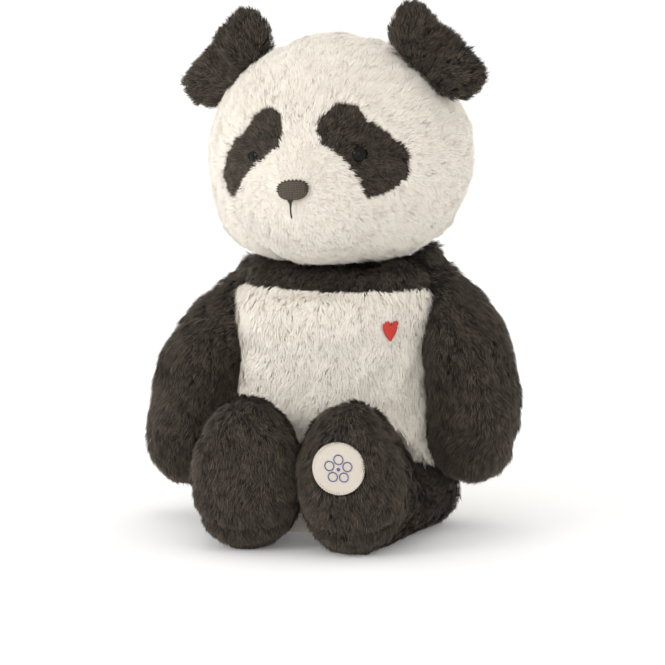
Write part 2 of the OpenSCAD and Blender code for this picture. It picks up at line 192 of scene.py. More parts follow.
class Skin:
    """Closed grid of rings between two poles: points, four-cornered faces, and triangles. The
    poles are the middles of the first and the last ring."""

    def __init__(self, rings):
        m, n = rings.shape[:2]
        self.co = np.concatenate([rings.reshape(-1, 3), [rings[0].mean(0)], [rings[-1].mean(0)]])
        i, j = np.meshgrid(np.arange(m - 1), np.arange(n), indexing="ij")
        a, b = i * n + j, i * n + (j + 1) % n
        self.quads = np.stack([a, b, b + n, a + n], -1).reshape(-1, 4)
        j = np.arange(n)
        k = (j + 1) % n
        start, end = np.full(n, m * n), np.full(n, m * n + 1)
        self.caps = np.concatenate([
            np.stack([start, k, j], -1),
            np.stack([end, (m - 1) * n + j, (m - 1) * n + k], -1)])
        if self.volume() < 0:
            self.quads, self.caps = self.quads[:, ::-1], self.caps[:, ::-1]
        self.refresh()

    def triangles(self):
        """The faces as triangles."""
        return np.concatenate([self.quads[:, [0, 1, 2]], self.quads[:, [0, 2, 3]], self.caps])

    def volume(self):
        """Volume with a sign, above 0 where the faces point outwards."""
        p = self.co[self.triangles()]
        return (p[:, 0] * np.cross(p[:, 1], p[:, 2])).sum() / 6

    def refresh(self):
        """Works out the normals and areas again after points have moved."""
        self.tris = self.triangles()
        p = self.co[self.tris]
        cross = np.cross(p[:, 1] - p[:, 0], p[:, 2] - p[:, 0])
        self.areas = np.linalg.norm(cross, axis=1) / 2
        normals = np.zeros_like(self.co)
        for corner in range(3):
            for axis in range(3):
                normals[:, axis] += np.bincount(
                    self.tris[:, corner], cross[:, axis], len(self.co))
        self.normals = unit(normals)

    def push(self, depth):
        """Moves every point along its normal, by a depth in mm given per point."""
        self.co = self.co + self.normals * depth[:, None]
        self.refresh()

    def sample(self, count, rng, share=None):
        """Random points on the skin and their normals. share weights the triangles."""
        weight = self.areas if share is None else self.areas * share
        total = np.cumsum(weight)
        t = self.tris[np.searchsorted(total, rng.random(count) * total[-1])]
        r, s = np.sqrt(rng.random(count))[:, None], rng.random(count)[:, None]
        parts = (1 - r, r * (1 - s), r * s)
        return (sum(w * self.co[t[:, k]] for k, w in enumerate(parts)),
                unit(sum(w * self.normals[t[:, k]] for k, w in enumerate(parts))))

    def piece(self, name, material, chosen=None):
        """Object of the skin, or of the faces whose middles are chosen."""
        faces = [self.quads, self.caps]
        if chosen is not None:
            faces = [f[chosen(self.co[f].mean(1))] for f in faces]
        used, flat = np.unique(np.concatenate([f.ravel() for f in faces]), return_inverse=True)
        split = faces[0].size
        kept = [flat[:split].reshape(-1, 4), flat[split:].reshape(-1, 3)]
        return build_mesh(name, self.co[used], [f for f in kept if len(f)], material)


def tubes(paths, radius, sides=6, twist=0.0):
    """Round threads along several paths of the same number of points. Each ring of a thread is
    a circle about the path, square to it, and the ends close to a point. A twist adds a ridge
    that winds round the thread."""
    ways = unit(np.gradient(paths, axis=1))
    side = unit(np.cross(ways, np.array([0.31, 0.22, 0.92])))
    lift = np.cross(ways, side)
    count, steps = paths.shape[:2]
    a = 2 * math.pi * np.arange(sides) / sides
    size = np.full(steps, radius)
    size[[0, -1]] = radius * 0.15
    wind = 1 + twist * np.cos(2 * (a[None, :] + np.arange(steps)[:, None] * 0.9))
    reach = size[:, None] * wind
    rings = (paths[:, :, None, :]
             + reach[None, :, :, None] * (np.cos(a)[:, None] * side[:, :, None, :]
                                          + np.sin(a)[:, None] * lift[:, :, None, :]))
    c, i, j = np.meshgrid(np.arange(count), np.arange(steps - 1), np.arange(sides), indexing="ij")
    first = c * steps * sides + i * sides
    p, q = first + j, first + (j + 1) % sides
    quads = np.stack([p, q, q + sides, p + sides], -1).reshape(-1, 4)
    ends = np.arange(count)[:, None] * steps * sides + np.arange(sides)
    caps = [ends[:, ::-1], ends + (steps - 1) * sides]
    u = np.broadcast_to((np.arange(sides) / sides)[None, None, :], (count, steps, sides))
    v = np.broadcast_to((np.arange(steps) / (steps - 1))[None, :, None], (count, steps, sides))
    return rings.reshape(-1, 3), [quads, *caps], np.stack([u, v], -1).reshape(-1, 2)


# ---- Pile ---------------------------------------------------------------------------------

# Strands in one object, a clump's radius and strands, how deep roots stand and how low tips go.
STRANDS_IN_A_PIECE = 90000
CLUMP_R, CLUMP_SIZE = 2.1, 9
ROOT_DEPTH, FLOOR_GAP = 0.4, 0.25


def front_share(skin):
    """Weight of each triangle for the pile: 1 at the front and the sides, less at the back."""
    return mix(0.6, 1.0, ease(0.8 - skin.normals[skin.tris, 1].mean(1)))


def grow_pile(name, skin, body, slot, material, flow, density, length, seed, keep=None,
              share=1.0, width=0.5, lift=0.5, clump=0.35, jitter=0.16):
    """Standing pile as tapered strands of two faces, in clumps.

    Each clump has a middle on the skin and a tip that leans along the flow. Strands root round
    the middle, rise off the skin and bend over, and their tips gather towards the clump's tip.
    The tone of a strand rises from its root to its tip, a painted shade low in the pile and a
    painted highlight at the tip, and varies by clump and by strand. The UV map holds the tone and
    how far up the strand a point is. keep(roots, middles) says which strands to grow, and length
    may be a function of points."""
    rng = np.random.default_rng(seed)
    share = share * front_share(skin)
    clumps = int((skin.areas * share).sum() * density / CLUMP_SIZE)
    centre, n = skin.sample(clumps, rng, share)
    way = along(flow(centre, n), n)
    swirl = (0.3 * ripple(centre, 38, seed + 1) + 0.24 * ripple(centre, 13, seed + 2)
             + rng.normal(0, 0.1, clumps))[:, None]
    way = along(way * np.cos(swirl) + np.cross(n, way) * np.sin(swirl), n)
    side = np.cross(n, way)
    reach = length(centre) if callable(length) else np.full(clumps, float(length))
    reach = reach * (1 + 0.12 * ripple(centre, 16, seed + 3)) * rng.uniform(0.85, 1.15, clumps)
    clump_tone = 0.5 + 0.06 * rng.normal(size=clumps) + 0.08 * ripple(centre, 9, seed + 4)
    clump_lift = lift * (1 + 0.22 * ripple(centre, 11, seed + 5))

    pick = np.repeat(np.arange(clumps), CLUMP_SIZE)
    count = len(pick)
    r, a = CLUMP_R * np.sqrt(rng.random(count)), rng.uniform(0, 2 * math.pi, count)
    n, way, side = n[pick], way[pick], side[pick]
    root = centre[pick] + (r * np.cos(a))[:, None] * way + (r * np.sin(a))[:, None] * side
    if keep is not None:
        stay = keep(root, root + 0.5 * reach[pick, None] * way)
        pick, n, way, side, root = (v[stay] for v in (pick, n, way, side, root))
        count = len(pick)
    reach = (reach[pick] * rng.uniform(0.65, 1.18, count))[:, None]
    up = (clump_lift[pick] * rng.uniform(0.7, 1.35, count))[:, None]
    stray = rng.normal(0, 0.22, (count, 1))
    lean = unit(way + stray * side)
    middle = root + reach * 0.5 * unit(n * (up + 0.25) + lean * 0.7)
    own = middle + reach * 0.5 * unit(n * up * 0.45 + lean)
    shared = (centre[pick] + reach * (n * (0.18 + 0.42 * up) + way * 0.8)
              + rng.normal(0, 0.35, (count, 3)))
    tip = mix(own, shared, clump * rng.uniform(0.5, 1.25, (count, 1)))
    middle = mix(middle, 0.5 * (root + tip) + n * reach * 0.09, 0.35)
    root = root - n * ROOT_DEPTH
    across = unit(np.cross(unit(tip - root), n) + rng.normal(0, 0.2, (count, 3)))
    half = width / 2 * rng.uniform(0.7, 1.3, (count, 1))
    co = np.stack([root, middle - across * half, middle + across * half, tip], 1)
    co[:, :, 2] = np.maximum(co[:, :, 2], FLOOR_GAP)
    shade = unit(n + rng.normal(0, jitter, (count, 3)) + 0.2 * unit(tip - root))
    edge = 0.25 * across
    normals = unit(np.stack([shade, shade - edge, shade + edge, shade], 1))
    base = clump_tone[pick] + rng.normal(0, 0.19, count)
    # The root's tone is lowered as a painted shade deep in the pile, and the tip's is raised as a
    # painted highlight.
    tone = base[:, None] + np.array([-0.3, 0.0, 0.0, 0.22])
    climb = np.broadcast_to(np.array([0.0, 0.5, 0.5, 1.0]), tone.shape)
    chunks = max(1, math.ceil(count / STRANDS_IN_A_PIECE))
    order = rng.permutation(count)
    for part, chosen in enumerate(np.array_split(order, chunks)):
        k = np.arange(len(chosen)) * 4
        faces = np.concatenate([np.stack([k, k + 2, k + 1], -1),
                                np.stack([k + 1, k + 2, k + 3], -1)])
        label = name if chunks == 1 else f"{name}_{part + 1}"
        finish_piece(build_mesh(
            label, co[chosen].reshape(-1, 3), [faces], material,
            uv=np.stack([tone[chosen].ravel(), climb[chosen].ravel()], -1),
            values={"tone": tone[chosen].ravel()},
            normals=normals[chosen].reshape(-1, 3)), body, slot)


# ---- Materials ----------------------------------------------------------------------------


class Nodes:
    """Node tree of a material or group, with short calls to add and join nodes."""

    def __init__(self, tree):
        self.tree = tree

    def add(self, kind, **values):
        """Node of a kind, with sockets set by name and settings set by attribute."""
        node = self.tree.nodes.new(kind)
        for key, value in values.items():
            if hasattr(node, key):
                setattr(node, key, value)
            else:
                node.inputs[key.replace("_", " ").title()].default_value = value
        return node

    def join(self, out, into):
        """Joins an output socket to an input socket."""
        self.tree.links.new(out, into)


def new_material(name, **shader):
    """Material with a Principled shader whose sockets are set by name."""
    material = bpy.data.materials.new(name)
    material.use_nodes = True
    nodes = Nodes(material.node_tree)
    surface = material.node_tree.nodes["Principled BSDF"]
    for key, value in shader.items():
        surface.inputs[key].default_value = value
    return material, nodes, surface


def ramp(nodes, value, stops):
    """Colour ramp through stops of place and colour."""
    node = nodes.add("ShaderNodeValToRGB")
    while len(node.color_ramp.elements) < len(stops):
        node.color_ramp.elements.new(0.5)
    for element, (place, colour) in zip(node.color_ramp.elements, stops):
        element.position = place
        element.color = (*colour, 1)
    nodes.join(value, node.inputs["Fac"])
    return node.outputs["Color"]


def cloth_group():
    """Shared effect: a fine weave with loose fibres, as a height and a soft mottled mask."""
    group = bpy.data.node_groups.get("Weave and fibres")
    if group:
        return group
    group = bpy.data.node_groups.new("Weave and fibres", "ShaderNodeTree")
    for key, default in (("Threads", 900.0), ("Fibres", 2500.0)):
        socket = group.interface.new_socket(key, in_out="INPUT", socket_type="NodeSocketFloat")
        socket.default_value = default
    for key in ("Height", "Mottle"):
        group.interface.new_socket(key, in_out="OUTPUT", socket_type="NodeSocketFloat")
    nodes = Nodes(group)
    given, out = nodes.add("NodeGroupInput"), nodes.add("NodeGroupOutput")
    place = nodes.add("ShaderNodeTexCoord").outputs["Object"]
    heights = []
    for way in ("X", "Z"):
        wave = nodes.add("ShaderNodeTexWave", wave_type="BANDS", bands_direction=way)
        wave.inputs["Distortion"].default_value = 1.2
        wave.inputs["Detail"].default_value = 1
        nodes.join(place, wave.inputs["Vector"])
        nodes.join(given.outputs["Threads"], wave.inputs["Scale"])
        heights.append(wave.outputs["Fac"])
    weave = nodes.add("ShaderNodeMath", operation="MULTIPLY")
    nodes.join(heights[0], weave.inputs[0])
    nodes.join(heights[1], weave.inputs[1])
    fibre = nodes.add("ShaderNodeTexNoise")
    fibre.inputs["Detail"].default_value = 4
    nodes.join(place, fibre.inputs["Vector"])
    nodes.join(given.outputs["Fibres"], fibre.inputs["Scale"])
    total = nodes.add("ShaderNodeMath", operation="ADD")
    nodes.join(weave.outputs[0], total.inputs[0])
    nodes.join(fibre.outputs["Fac"], total.inputs[1])
    nodes.join(total.outputs[0], out.inputs["Height"])
    mean = nodes.add("ShaderNodeMath", operation="MULTIPLY")
    mean.inputs[1].default_value = 0.5
    nodes.join(total.outputs[0], mean.inputs[0])
    nodes.join(mean.outputs[0], out.inputs["Mottle"])
    return group


def cloth_material(name, dark, light, threads, fibres, bump, rough=0.95, sheen=0.2):
    """Cloth or felt: two tones mottled by its fibres, with the weave as a bump."""
    material, nodes, surface = new_material(
        name, **{"Roughness": rough, "Sheen Weight": sheen, "Specular IOR Level": 0.2})
    weave = nodes.add("ShaderNodeGroup", node_tree=cloth_group())
    weave.inputs["Threads"].default_value = threads
    weave.inputs["Fibres"].default_value = fibres
    nodes.join(ramp(nodes, weave.outputs["Mottle"], [(0.25, dark), (0.6, light)]),
               surface.inputs["Base Color"])
    raised = nodes.add("ShaderNodeBump", Strength=bump, Distance=0.0004)
    nodes.join(weave.outputs["Height"], raised.inputs["Height"])
    nodes.join(raised.outputs["Normal"], surface.inputs["Normal"])
    return material


def pile_material(name, root, body, tip, sheen, sheen_tint, rough=0.75):
    """Pile: its tone attribute picks the colour between root, body and tip; the root colour is a
    painted shade and the tip colour a painted highlight.
    """
    material, nodes, surface = new_material(
        name, **{"Roughness": rough, "Specular IOR Level": 0.25, "Sheen Weight": sheen,
                 "Sheen Roughness": 0.55, "Sheen Tint": (*sheen_tint, 1)})
    tone = nodes.add("ShaderNodeAttribute", attribute_name="tone")
    nodes.join(ramp(nodes, tone.outputs["Fac"], [(0.1, root), (0.45, body), (0.98, tip)]),
               surface.inputs["Base Color"])
    return material


def thread_material(name, dark, light, rough=0.6):
    """Twisted thread: slanting bands of two tones, with a bump."""
    material, nodes, surface = new_material(
        name, **{"Roughness": rough, "Sheen Weight": 0.15, "Specular IOR Level": 0.35})
    place = nodes.add("ShaderNodeTexCoord").outputs["Object"]
    wave = nodes.add("ShaderNodeTexWave", wave_type="BANDS", bands_direction="DIAGONAL")
    wave.inputs["Scale"].default_value = 700
    wave.inputs["Distortion"].default_value = 2
    nodes.join(place, wave.inputs["Vector"])
    nodes.join(ramp(nodes, wave.outputs["Fac"], [(0.2, dark), (0.8, light)]),
               surface.inputs["Base Color"])
    raised = nodes.add("ShaderNodeBump", Strength=0.5, Distance=0.0002)
    nodes.join(wave.outputs["Fac"], raised.inputs["Height"])
    nodes.join(raised.outputs["Normal"], surface.inputs["Normal"])
    return material


def plastic_material(name, colour, rough, shine=0.5):
    """Moulded plastic with faint scuffs in its gloss."""
    material, nodes, surface = new_material(
        name, **{"Base Color": (*colour, 1), "Specular IOR Level": shine})
    place = nodes.add("ShaderNodeTexCoord").outputs["Object"]
    scuff = nodes.add("ShaderNodeTexNoise")
    scuff.inputs["Scale"].default_value = 900
    nodes.join(place, scuff.inputs["Vector"])
    span = nodes.add("ShaderNodeMapRange")
    span.inputs["To Min"].default_value = rough * 0.7
    span.inputs["To Max"].default_value = rough * 1.5
    nodes.join(scuff.outputs["Fac"], span.inputs["Value"])
    nodes.join(span.outputs["Result"], surface.inputs["Roughness"])
    return material


def finish(name):
    """The named finish, made once."""
    if name in bpy.data.materials:
        return bpy.data.materials[name]
    looks = bpy.context.scene.panda_looks
    dark, cream = np.array(looks.dark_fur), np.array(looks.cream_fur)
    makers = {
        # Each pile's darker root colour is a painted shade low in the pile, and its lighter tip
        # colour is a painted highlight.
        "Dark pile": lambda: pile_material(name, dark * 0.15, dark * 0.85, dark * 4.6, 0.3,
                                           (0.62, 0.52, 0.42)),
        "Cream pile": lambda: pile_material(name, cream * (0.93, 0.9, 0.86), cream,
                                            np.minimum(cream * 1.05, 0.97), 0.25,
                                            (1.0, 0.95, 0.88), 0.9),
        "Dark backing": lambda: cloth_material(name, dark * 0.2, dark * 0.4, 900, 2500, 0.5),
        "Cream backing": lambda: cloth_material(name, cream * 0.84, cream * 0.93, 900, 2500, 0.4),
        "Nose felt": lambda: cloth_material(name, (0.05, 0.04, 0.03), (0.145, 0.118, 0.087),
                                            260, 1500, 1.0),
        "Badge felt": lambda: cloth_material(name, (0.6, 0.54, 0.46), (0.86, 0.8, 0.72),
                                             800, 2200, 0.6),
        "Dark thread": lambda: thread_material(name, (0.008, 0.006, 0.005), (0.04, 0.032, 0.026)),
        "Cream thread": lambda: thread_material(name, (0.6, 0.54, 0.45), (0.92, 0.88, 0.8)),
        "Red thread": lambda: thread_material(name, (0.42, 0.02, 0.015), (0.78, 0.06, 0.04)),
        "Blue thread": lambda: thread_material(name, (0.05, 0.06, 0.2), (0.12, 0.15, 0.42)),
        "Eye plastic": lambda: plastic_material(name, (0.006, 0.005, 0.004), 0.07, 0.14),
        "Washer plastic": lambda: plastic_material(name, (0.75, 0.75, 0.72), 0.4),
        "Pellets": lambda: plastic_material(name, (0.8, 0.8, 0.75), 0.5),
        "Filling": lambda: cloth_material(name, (0.8, 0.8, 0.78), (0.95, 0.95, 0.94),
                                          150, 900, 0.8),
        "Pouch cloth": lambda: cloth_material(name, (0.5, 0.46, 0.4), (0.72, 0.68, 0.6),
                                              700, 2400, 0.6),
    }
    return makers[name]()


# ---- Head ---------------------------------------------------------------------------------

HEAD_C = np.array([1.0, 0.0, 273.5])
HEAD_TURN = turn_z(-9.5) @ turn_y(-3.5)
HEAD_HALF = np.array([94.7, 78.0, 80.0])
MUZZLE_C = np.array([0.0, -52.0, -34.0])
MUZZLE_HALF = np.array([47.0, 38.0, 38.0])
NOSE_C = np.array([0.0, -88.0, -22.0])
NOSE_W, NOSE_H = 11.0, 6.3
EYE_X, EYE_Z, EYE_TURN = {"left": 43.8, "right": 38.0}, 1.0, 24.0
PATCH = rounded([
    (15, 25), (20, 33), (30, 37), (40, 34), (48, 25), (58, 17), (67, 9), (73, -1),
    (73, -13), (66, -22), (56, -28), (46, -29), (42, -17), (35, -6), (26, 5), (16, 14)])
PATCH_MIDDLE, PATCH_INSET, PATCH_SHRINK, PATCH_SLANT = 40.0, 7.5, (0.87, 0.95), 0.36
PATCH_EDGE, PATCH_TAPER = 73.0, 0.2
EYE_R, EYE_RIM, EYE_DOME, EYE_SHANK_R, EYE_SHANK = 6.0, 0.8, 4.3, 1.6, 9.0
EYE_SINK = 5.3
EYE_BARE = 3.2
MOUTH_X, MOUTH_TOP, MOUTH_END = -0.9, -27.5, -40.5
HEAD_RINGS, HEAD_SIDES = 132, 300
HEAD_PILE = (2.8, 6.8)
MUZZLE_SEAM = [(56, -30), (52, -44), (45, -57), (36, -68), (26, -76)]


def from_head(q):
    """Points in the head's own frame, in a grid of any shape, moved to where the head is."""
    return (HEAD_C + q.reshape(-1, 3) @ HEAD_TURN.T).reshape(q.shape)


def to_head(p):
    """Points in the head's own frame."""
    return (p - HEAD_C) @ HEAD_TURN


def head_radius(d):
    """How far the head's skin is from its middle along the unit ways d, in its own frame.

    The skull is the egg whose level sections close in by a power law of height, fuller below
    than above. The muzzle is an ellipsoid, and the two join with a soft fillet."""
    flat = np.hypot(d[:, 0] / HEAD_HALF[0], d[:, 1] / HEAD_HALF[1])
    tall = np.abs(d[:, 2] / HEAD_HALF[2])
    power = np.where(d[:, 2] < 0, 3.0, 1.85)
    skull = (flat**power + tall**power) ** (-1 / power)
    e, c = d / MUZZLE_HALF, MUZZLE_C / MUZZLE_HALF
    a, b, k = (e * e).sum(1), e @ c, c @ c - 1
    root = b * b - a * k
    muzzle = np.where(root > 0, (b + np.sqrt(np.maximum(root, 0))) / a, 0)
    return 0.5 * (skull + muzzle + np.sqrt((skull - muzzle) ** 2 + 5.0**2)) - 0.6


def in_patch(q):
    """Whether points in the head's own frame lie in an eye patch. The right one sits further in,
    is smaller, and slants outwards and narrows below the eye."""
    right = q[:, 0] < 0
    x = np.abs(q[:, 0]) + 0.6 * ripple(q, 7, 71)
    z = q[:, 2] + 0.5 * ripple(q, 6, 72)
    x = x - PATCH_SLANT * right * np.maximum(-4 - z, 0)
    below = 1 - PATCH_TAPER * ease((6 - z) / 16)
    x = np.where(right, PATCH_EDGE - (PATCH_EDGE - x) / below, x)
    x = np.where(right, (x + PATCH_INSET - PATCH_MIDDLE) / PATCH_SHRINK[0] + PATCH_MIDDLE, x)
    z = np.where(right, z / PATCH_SHRINK[1], z)
    return (q[:, 1] < 0) & inside(PATCH, x, z)


def head_skin():
    """Rings of latitude about the head's own upright axis, at the skin's radius along each way,
    with creases along the seams of the muzzle and the crown, and hollows at the patches and the
    eyes. The left cheek is a little flatter than the right."""
    lat = np.radians(np.linspace(-88, 88, HEAD_RINGS))[:, None]
    lon = np.radians(np.arange(HEAD_SIDES) * (360 / HEAD_SIDES))[None, :]
    d = np.stack([np.cos(lat) * np.sin(lon), -np.cos(lat) * np.cos(lon),
                  np.sin(lat) + 0 * lon], -1).reshape(-1, 3)
    q = d * head_radius(d)[:, None]
    x, z = np.abs(q[:, 0]), q[:, 2]
    crease = 1.5 * hump(gap_to_line(MUZZLE_SEAM, x, z), 3.5) * ease(-q[:, 1] / 20)
    crown = 1.0 * hump(x - 0.3 * (q[:, 1] + 75) - 13, 3) * ease((z - 10) / 30)
    hollow = 1.5 * in_patch(q)
    eye = 0.8 * hump(eye_gap(q), 9)
    cheek = hump(z + 53, 22) * ease((x - 30) / 30)
    soft = (0.9 * ripple(q, 60, 5) + 0.35 * ripple(q, 22, 6)
            + cheek * np.where(q[:, 0] > 0, -4.0, 2.0))
    q = d * (np.linalg.norm(q, axis=1) - crease - crown - hollow - eye + soft)[:, None]
    return Skin(from_head(q).reshape(HEAD_RINGS, HEAD_SIDES, 3))


def head_flow(p, n):
    """The pile on the head lies away from the nose on every side, and hangs below the eyes."""
    q = to_head(p)
    hang = 0.75 * np.abs(q[:, 0]) * ease((16 - q[:, 2]) / 30) * ease((20 - q[:, 1]) / 40)
    away = q - (NOSE_C - np.array([0, 4.0, 4.0]))
    return (away - hang[:, None] * [0, 0, 1]) @ HEAD_TURN.T


def nose_gap(q):
    """How far outside the nose's outline each point is, in the plane of the face."""
    return (np.hypot(q[:, 0] / NOSE_W, (q[:, 2] - NOSE_C[2]) / NOSE_H) - 1) * NOSE_H


def eye_gap(q):
    """Distance of each point from the nearer eye's axis, in the plane of the face."""
    x = np.where(q[:, 0] > 0, q[:, 0] - EYE_X["left"], q[:, 0] + EYE_X["right"])
    return np.hypot(x, q[:, 2] - EYE_Z) + 1e3 * (q[:, 1] > 0)


def head_length(p):
    """Length of the pile: short round the nose and the eyes, and longer at the back."""
    q = to_head(p)
    near = ease((np.linalg.norm(q - NOSE_C, axis=1) - 9) / 60)
    eyes = mix(0.8, 1.0, ease((eye_gap(q) - 4) / 12))
    return mix(*HEAD_PILE, near) * eyes * np.where(in_patch(q), 0.8, 1.0)


def bare_face(p):
    """Whether strands may root: not under the nose, the mouth's thread or an eye."""
    q = to_head(p)
    front = q[:, 1] < -60
    level = (q[:, 2] < MOUTH_TOP + 0.5) & (q[:, 2] > MOUTH_END - 1.5)
    mouth = (np.abs(q[:, 0] - MOUTH_X) < 0.9) & level & front
    nose = (nose_gap(q) < 0.2) & front
    return ~(nose | mouth | (eye_gap(q) < EYE_BARE))


def make_head():
    """Skins and pile of the head."""
    skin = head_skin()

    def dark(p):
        return in_patch(to_head(p))

    def light(p):
        return ~in_patch(to_head(p))

    cream = skin.piece("head_skin", finish("Cream backing"), light)
    finish_piece(cream, "head", "cream_fur", "head_side_left", "head_side_right",
                 "head_gusset", "muzzle", "head_stuffing")
    for side, k in SIDES.items():
        patch = skin.piece(f"eye_patch_skin_{side}", finish("Dark backing"),
                           lambda p, k=k: dark(p) & (to_head(p)[:, 0] * k > 0))
        finish_piece(patch, "head", "dark_fur", f"eye_patch_{side}")
    looks = bpy.context.scene.panda_looks
    middles = to_head(skin.co[skin.tris].mean(1))
    face = (middles[:, 1] < 0) & (np.abs(middles[:, 0]) < 84) & (np.abs(middles[:, 2]) < 46)
    under = np.where((middles[:, 2] < -66) & (middles[:, 1] > -45), 0.5, 1.0)
    grow_pile("head_pile", skin, "head", "cream_fur", finish("Cream pile"), head_flow,
              looks.pile_density * 1.2, head_length, 11, share=under, width=0.4, lift=0.4,
              clump=0.22, jitter=0.07, keep=lambda p, q: light(q) & bare_face(p))
    grow_pile("patch_pile", skin, "head", "dark_fur", finish("Dark pile"), head_flow,
              looks.pile_density * 1.6, head_length, 12, share=face,
              width=0.38, clump=0.25, keep=lambda p, q: dark(q) & bare_face(p))


# ---- Face ---------------------------------------------------------------------------------


def face_point(x, z, lift):
    """Points over the muzzle at x and z in the head's own frame, a lift off its cloth."""
    inner = 1 - (x / MUZZLE_HALF[0]) ** 2 - ((z - MUZZLE_C[2]) / MUZZLE_HALF[2]) ** 2
    y = MUZZLE_C[1] - MUZZLE_HALF[1] * np.sqrt(np.maximum(inner, 0.02))
    q = np.stack(np.broadcast_arrays(x, y, z), -1)
    n = unit((q - MUZZLE_C) / MUZZLE_HALF**2)
    return q + n * np.asarray(lift)[..., None]


def nose_outline(a):
    """The nose's edge at an angle a: an oval with a flattened top and a narrower bottom."""
    c, s = np.cos(a), np.sin(a)
    size = (np.abs(c) ** 2.6 + np.abs(s) ** 2.6) ** (-1 / 2.6)
    return (NOSE_W * c * size * (1 + 0.06 * s), NOSE_C[2] + NOSE_H * s * size)


def make_nose():
    """Felt nose: rings from its middle to its edge, domed, with an edge that turns under."""
    a = 2 * math.pi * np.arange(72) / 72
    x, z = nose_outline(a)
    r = np.concatenate([np.linspace(0.06, 0.94, 14), [0.985, 1.0, 0.99, 0.9, 0.5]])[:, None]
    lift = np.concatenate([3.4 + 1.1 * (1 - np.linspace(0.06, 0.94, 14) ** 2) ** 0.6,
                           [2.9, 2.1, 0.6, -0.6, -0.8]])[:, None]
    q = face_point(x * r, NOSE_C[2] + (z - NOSE_C[2]) * r, lift + 0 * x)
    skin = Skin(from_head(q))
    nose = skin.piece("nose_felt", finish("Nose felt"))
    finish_piece(nose, "head", "nose_felt", "nose")
    stitch = np.linspace(math.radians(-6), math.radians(186), 15)[:, None]
    t = np.linspace(0, 1, 6)[None, :]
    x, z = nose_outline(stitch)
    r = 0.87 + 0.2 * t
    lift = 4.0 + 0.5 * np.sin(t * math.pi) - 2.6 * t**3
    paths = face_point(x * r, NOSE_C[2] + (z - NOSE_C[2]) * r, lift)
    co, faces, uv = tubes(from_head(paths), 0.5, 6)
    stitches = build_mesh("nose_edge_thread", co, faces, finish("Dark thread"), uv)
    finish_piece(stitches, "head", "thread_dark", "nose_stitching")


def make_mouth():
    """Mouth: five twisted threads that leave the nose's lower edge side by side, gather in a
    short point, and one of them runs on down."""
    t = np.linspace(0, 1, 30)
    low = np.array([-31.5, MOUTH_END, -31.5, -32.5, -32.5])[:, None]
    side = np.array([-1.7, 0.0, 1.7, -0.8, 0.8])[:, None]
    x = MOUTH_X + side * (1 - 0.9 * ease(t * 1.1))[None, :]
    z = mix(MOUTH_TOP, low, t[None, :])
    paths = from_head(face_point(x, z, 3.0 - 0.9 * t**4 + 0 * x))
    co, faces, uv = tubes(paths, 0.6, 8, 0.22)
    mouth = build_mesh("mouth_thread", co, faces, finish("Dark thread"), uv)
    finish_piece(mouth, "head", "thread_dark", "mouth_stitching")


def make_eyes():
    """Domed eyes: a turned profile, a quarter of an ellipse over a thin rim, with its shank."""
    a = np.radians(np.linspace(0, 88, 20))
    r = np.concatenate([[EYE_SHANK_R, EYE_SHANK_R, EYE_R - 0.8, EYE_R - 0.2], EYE_R * np.cos(a)])
    h = np.concatenate([[-EYE_SHANK, 0.0, 0.0, 0.25], EYE_RIM + EYE_DOME * np.sin(a)])
    b = 2 * math.pi * np.arange(48) / 48
    turn = math.radians(EYE_TURN)
    out = np.array([math.sin(turn), -math.cos(turn), 0.0])
    level, up = np.array([math.cos(turn), math.sin(turn), 0.0]), np.array([0, 0, 1.0])
    for side, k in SIDES.items():
        y = -HEAD_HALF[1] * math.sqrt(1 - (EYE_X[side] / HEAD_HALF[0]) ** 2
                                      - (EYE_Z / HEAD_HALF[2]) ** 2)
        centre = np.array([EYE_X[side], y, EYE_Z]) - EYE_SINK * out
        q = (centre + h[:, None, None] * out
             + r[:, None, None] * (np.cos(b)[:, None] * level + np.sin(b)[:, None] * up))
        q[..., 0] *= k
        eye = Skin(from_head(q)).piece(f"eye_dome_{side}", finish("Eye plastic"))
        finish_piece(eye, "head", "eye_plastic", f"eye_{side}")


# ---- Ears ---------------------------------------------------------------------------------

EAR_INNER, EAR_OUTER = np.array([63.0, 81.5]), np.array([96.5, 48.0])
EAR_TILT = (18.0, 84.0)
EAR_HALF = (14.0, 18.5)
EAR_Y = -7.0
EAR_SHIFT = {"left": (0.0, 1.0), "right": (-1.4, 0.0)}
EAR_CORE = np.array([79.0, 64.0])
EAR_THICK = 5.2
EAR_LAYERS, EAR_SIDES = 60, 120
EAR_PILE = 6.4


def ear_outline(count):
    """Edge of an ear seen from the front: the line drawn tight round its two oval lobes, taken
    as the furthest point of either along each way, spaced evenly, with a notch between them."""
    a = np.radians(np.arange(0, 360, 0.5))
    u = np.stack([np.cos(a), np.sin(a)], -1)
    far, point = np.full(len(a), -1e9), np.zeros((len(a), 2))
    for centre, tilt in ((EAR_INNER, EAR_TILT[0]), (EAR_OUTER, EAR_TILT[1])):
        t = math.radians(tilt)
        long, wide = np.array([math.sin(t), math.cos(t)]), np.array([math.cos(t), -math.sin(t)])
        pw, pl = EAR_HALF[0] ** 2 * (u @ wide), EAR_HALF[1] ** 2 * (u @ long)
        size = np.sqrt(pw * (u @ wide) + pl * (u @ long))
        reach = u @ centre + size
        best = reach > far
        at = centre + (pw[:, None] * wide + pl[:, None] * long) / size[:, None]
        far, point = np.where(best, reach, far), np.where(best[:, None], at, point)
    closed = np.concatenate([point, point[:1]])
    walk = np.concatenate([[0], np.cumsum(np.linalg.norm(np.diff(closed, axis=0), axis=1))])
    s = np.arange(count) / count * walk[-1]
    return np.stack([np.interp(s, walk, closed[:, k]) for k in range(2)], -1)


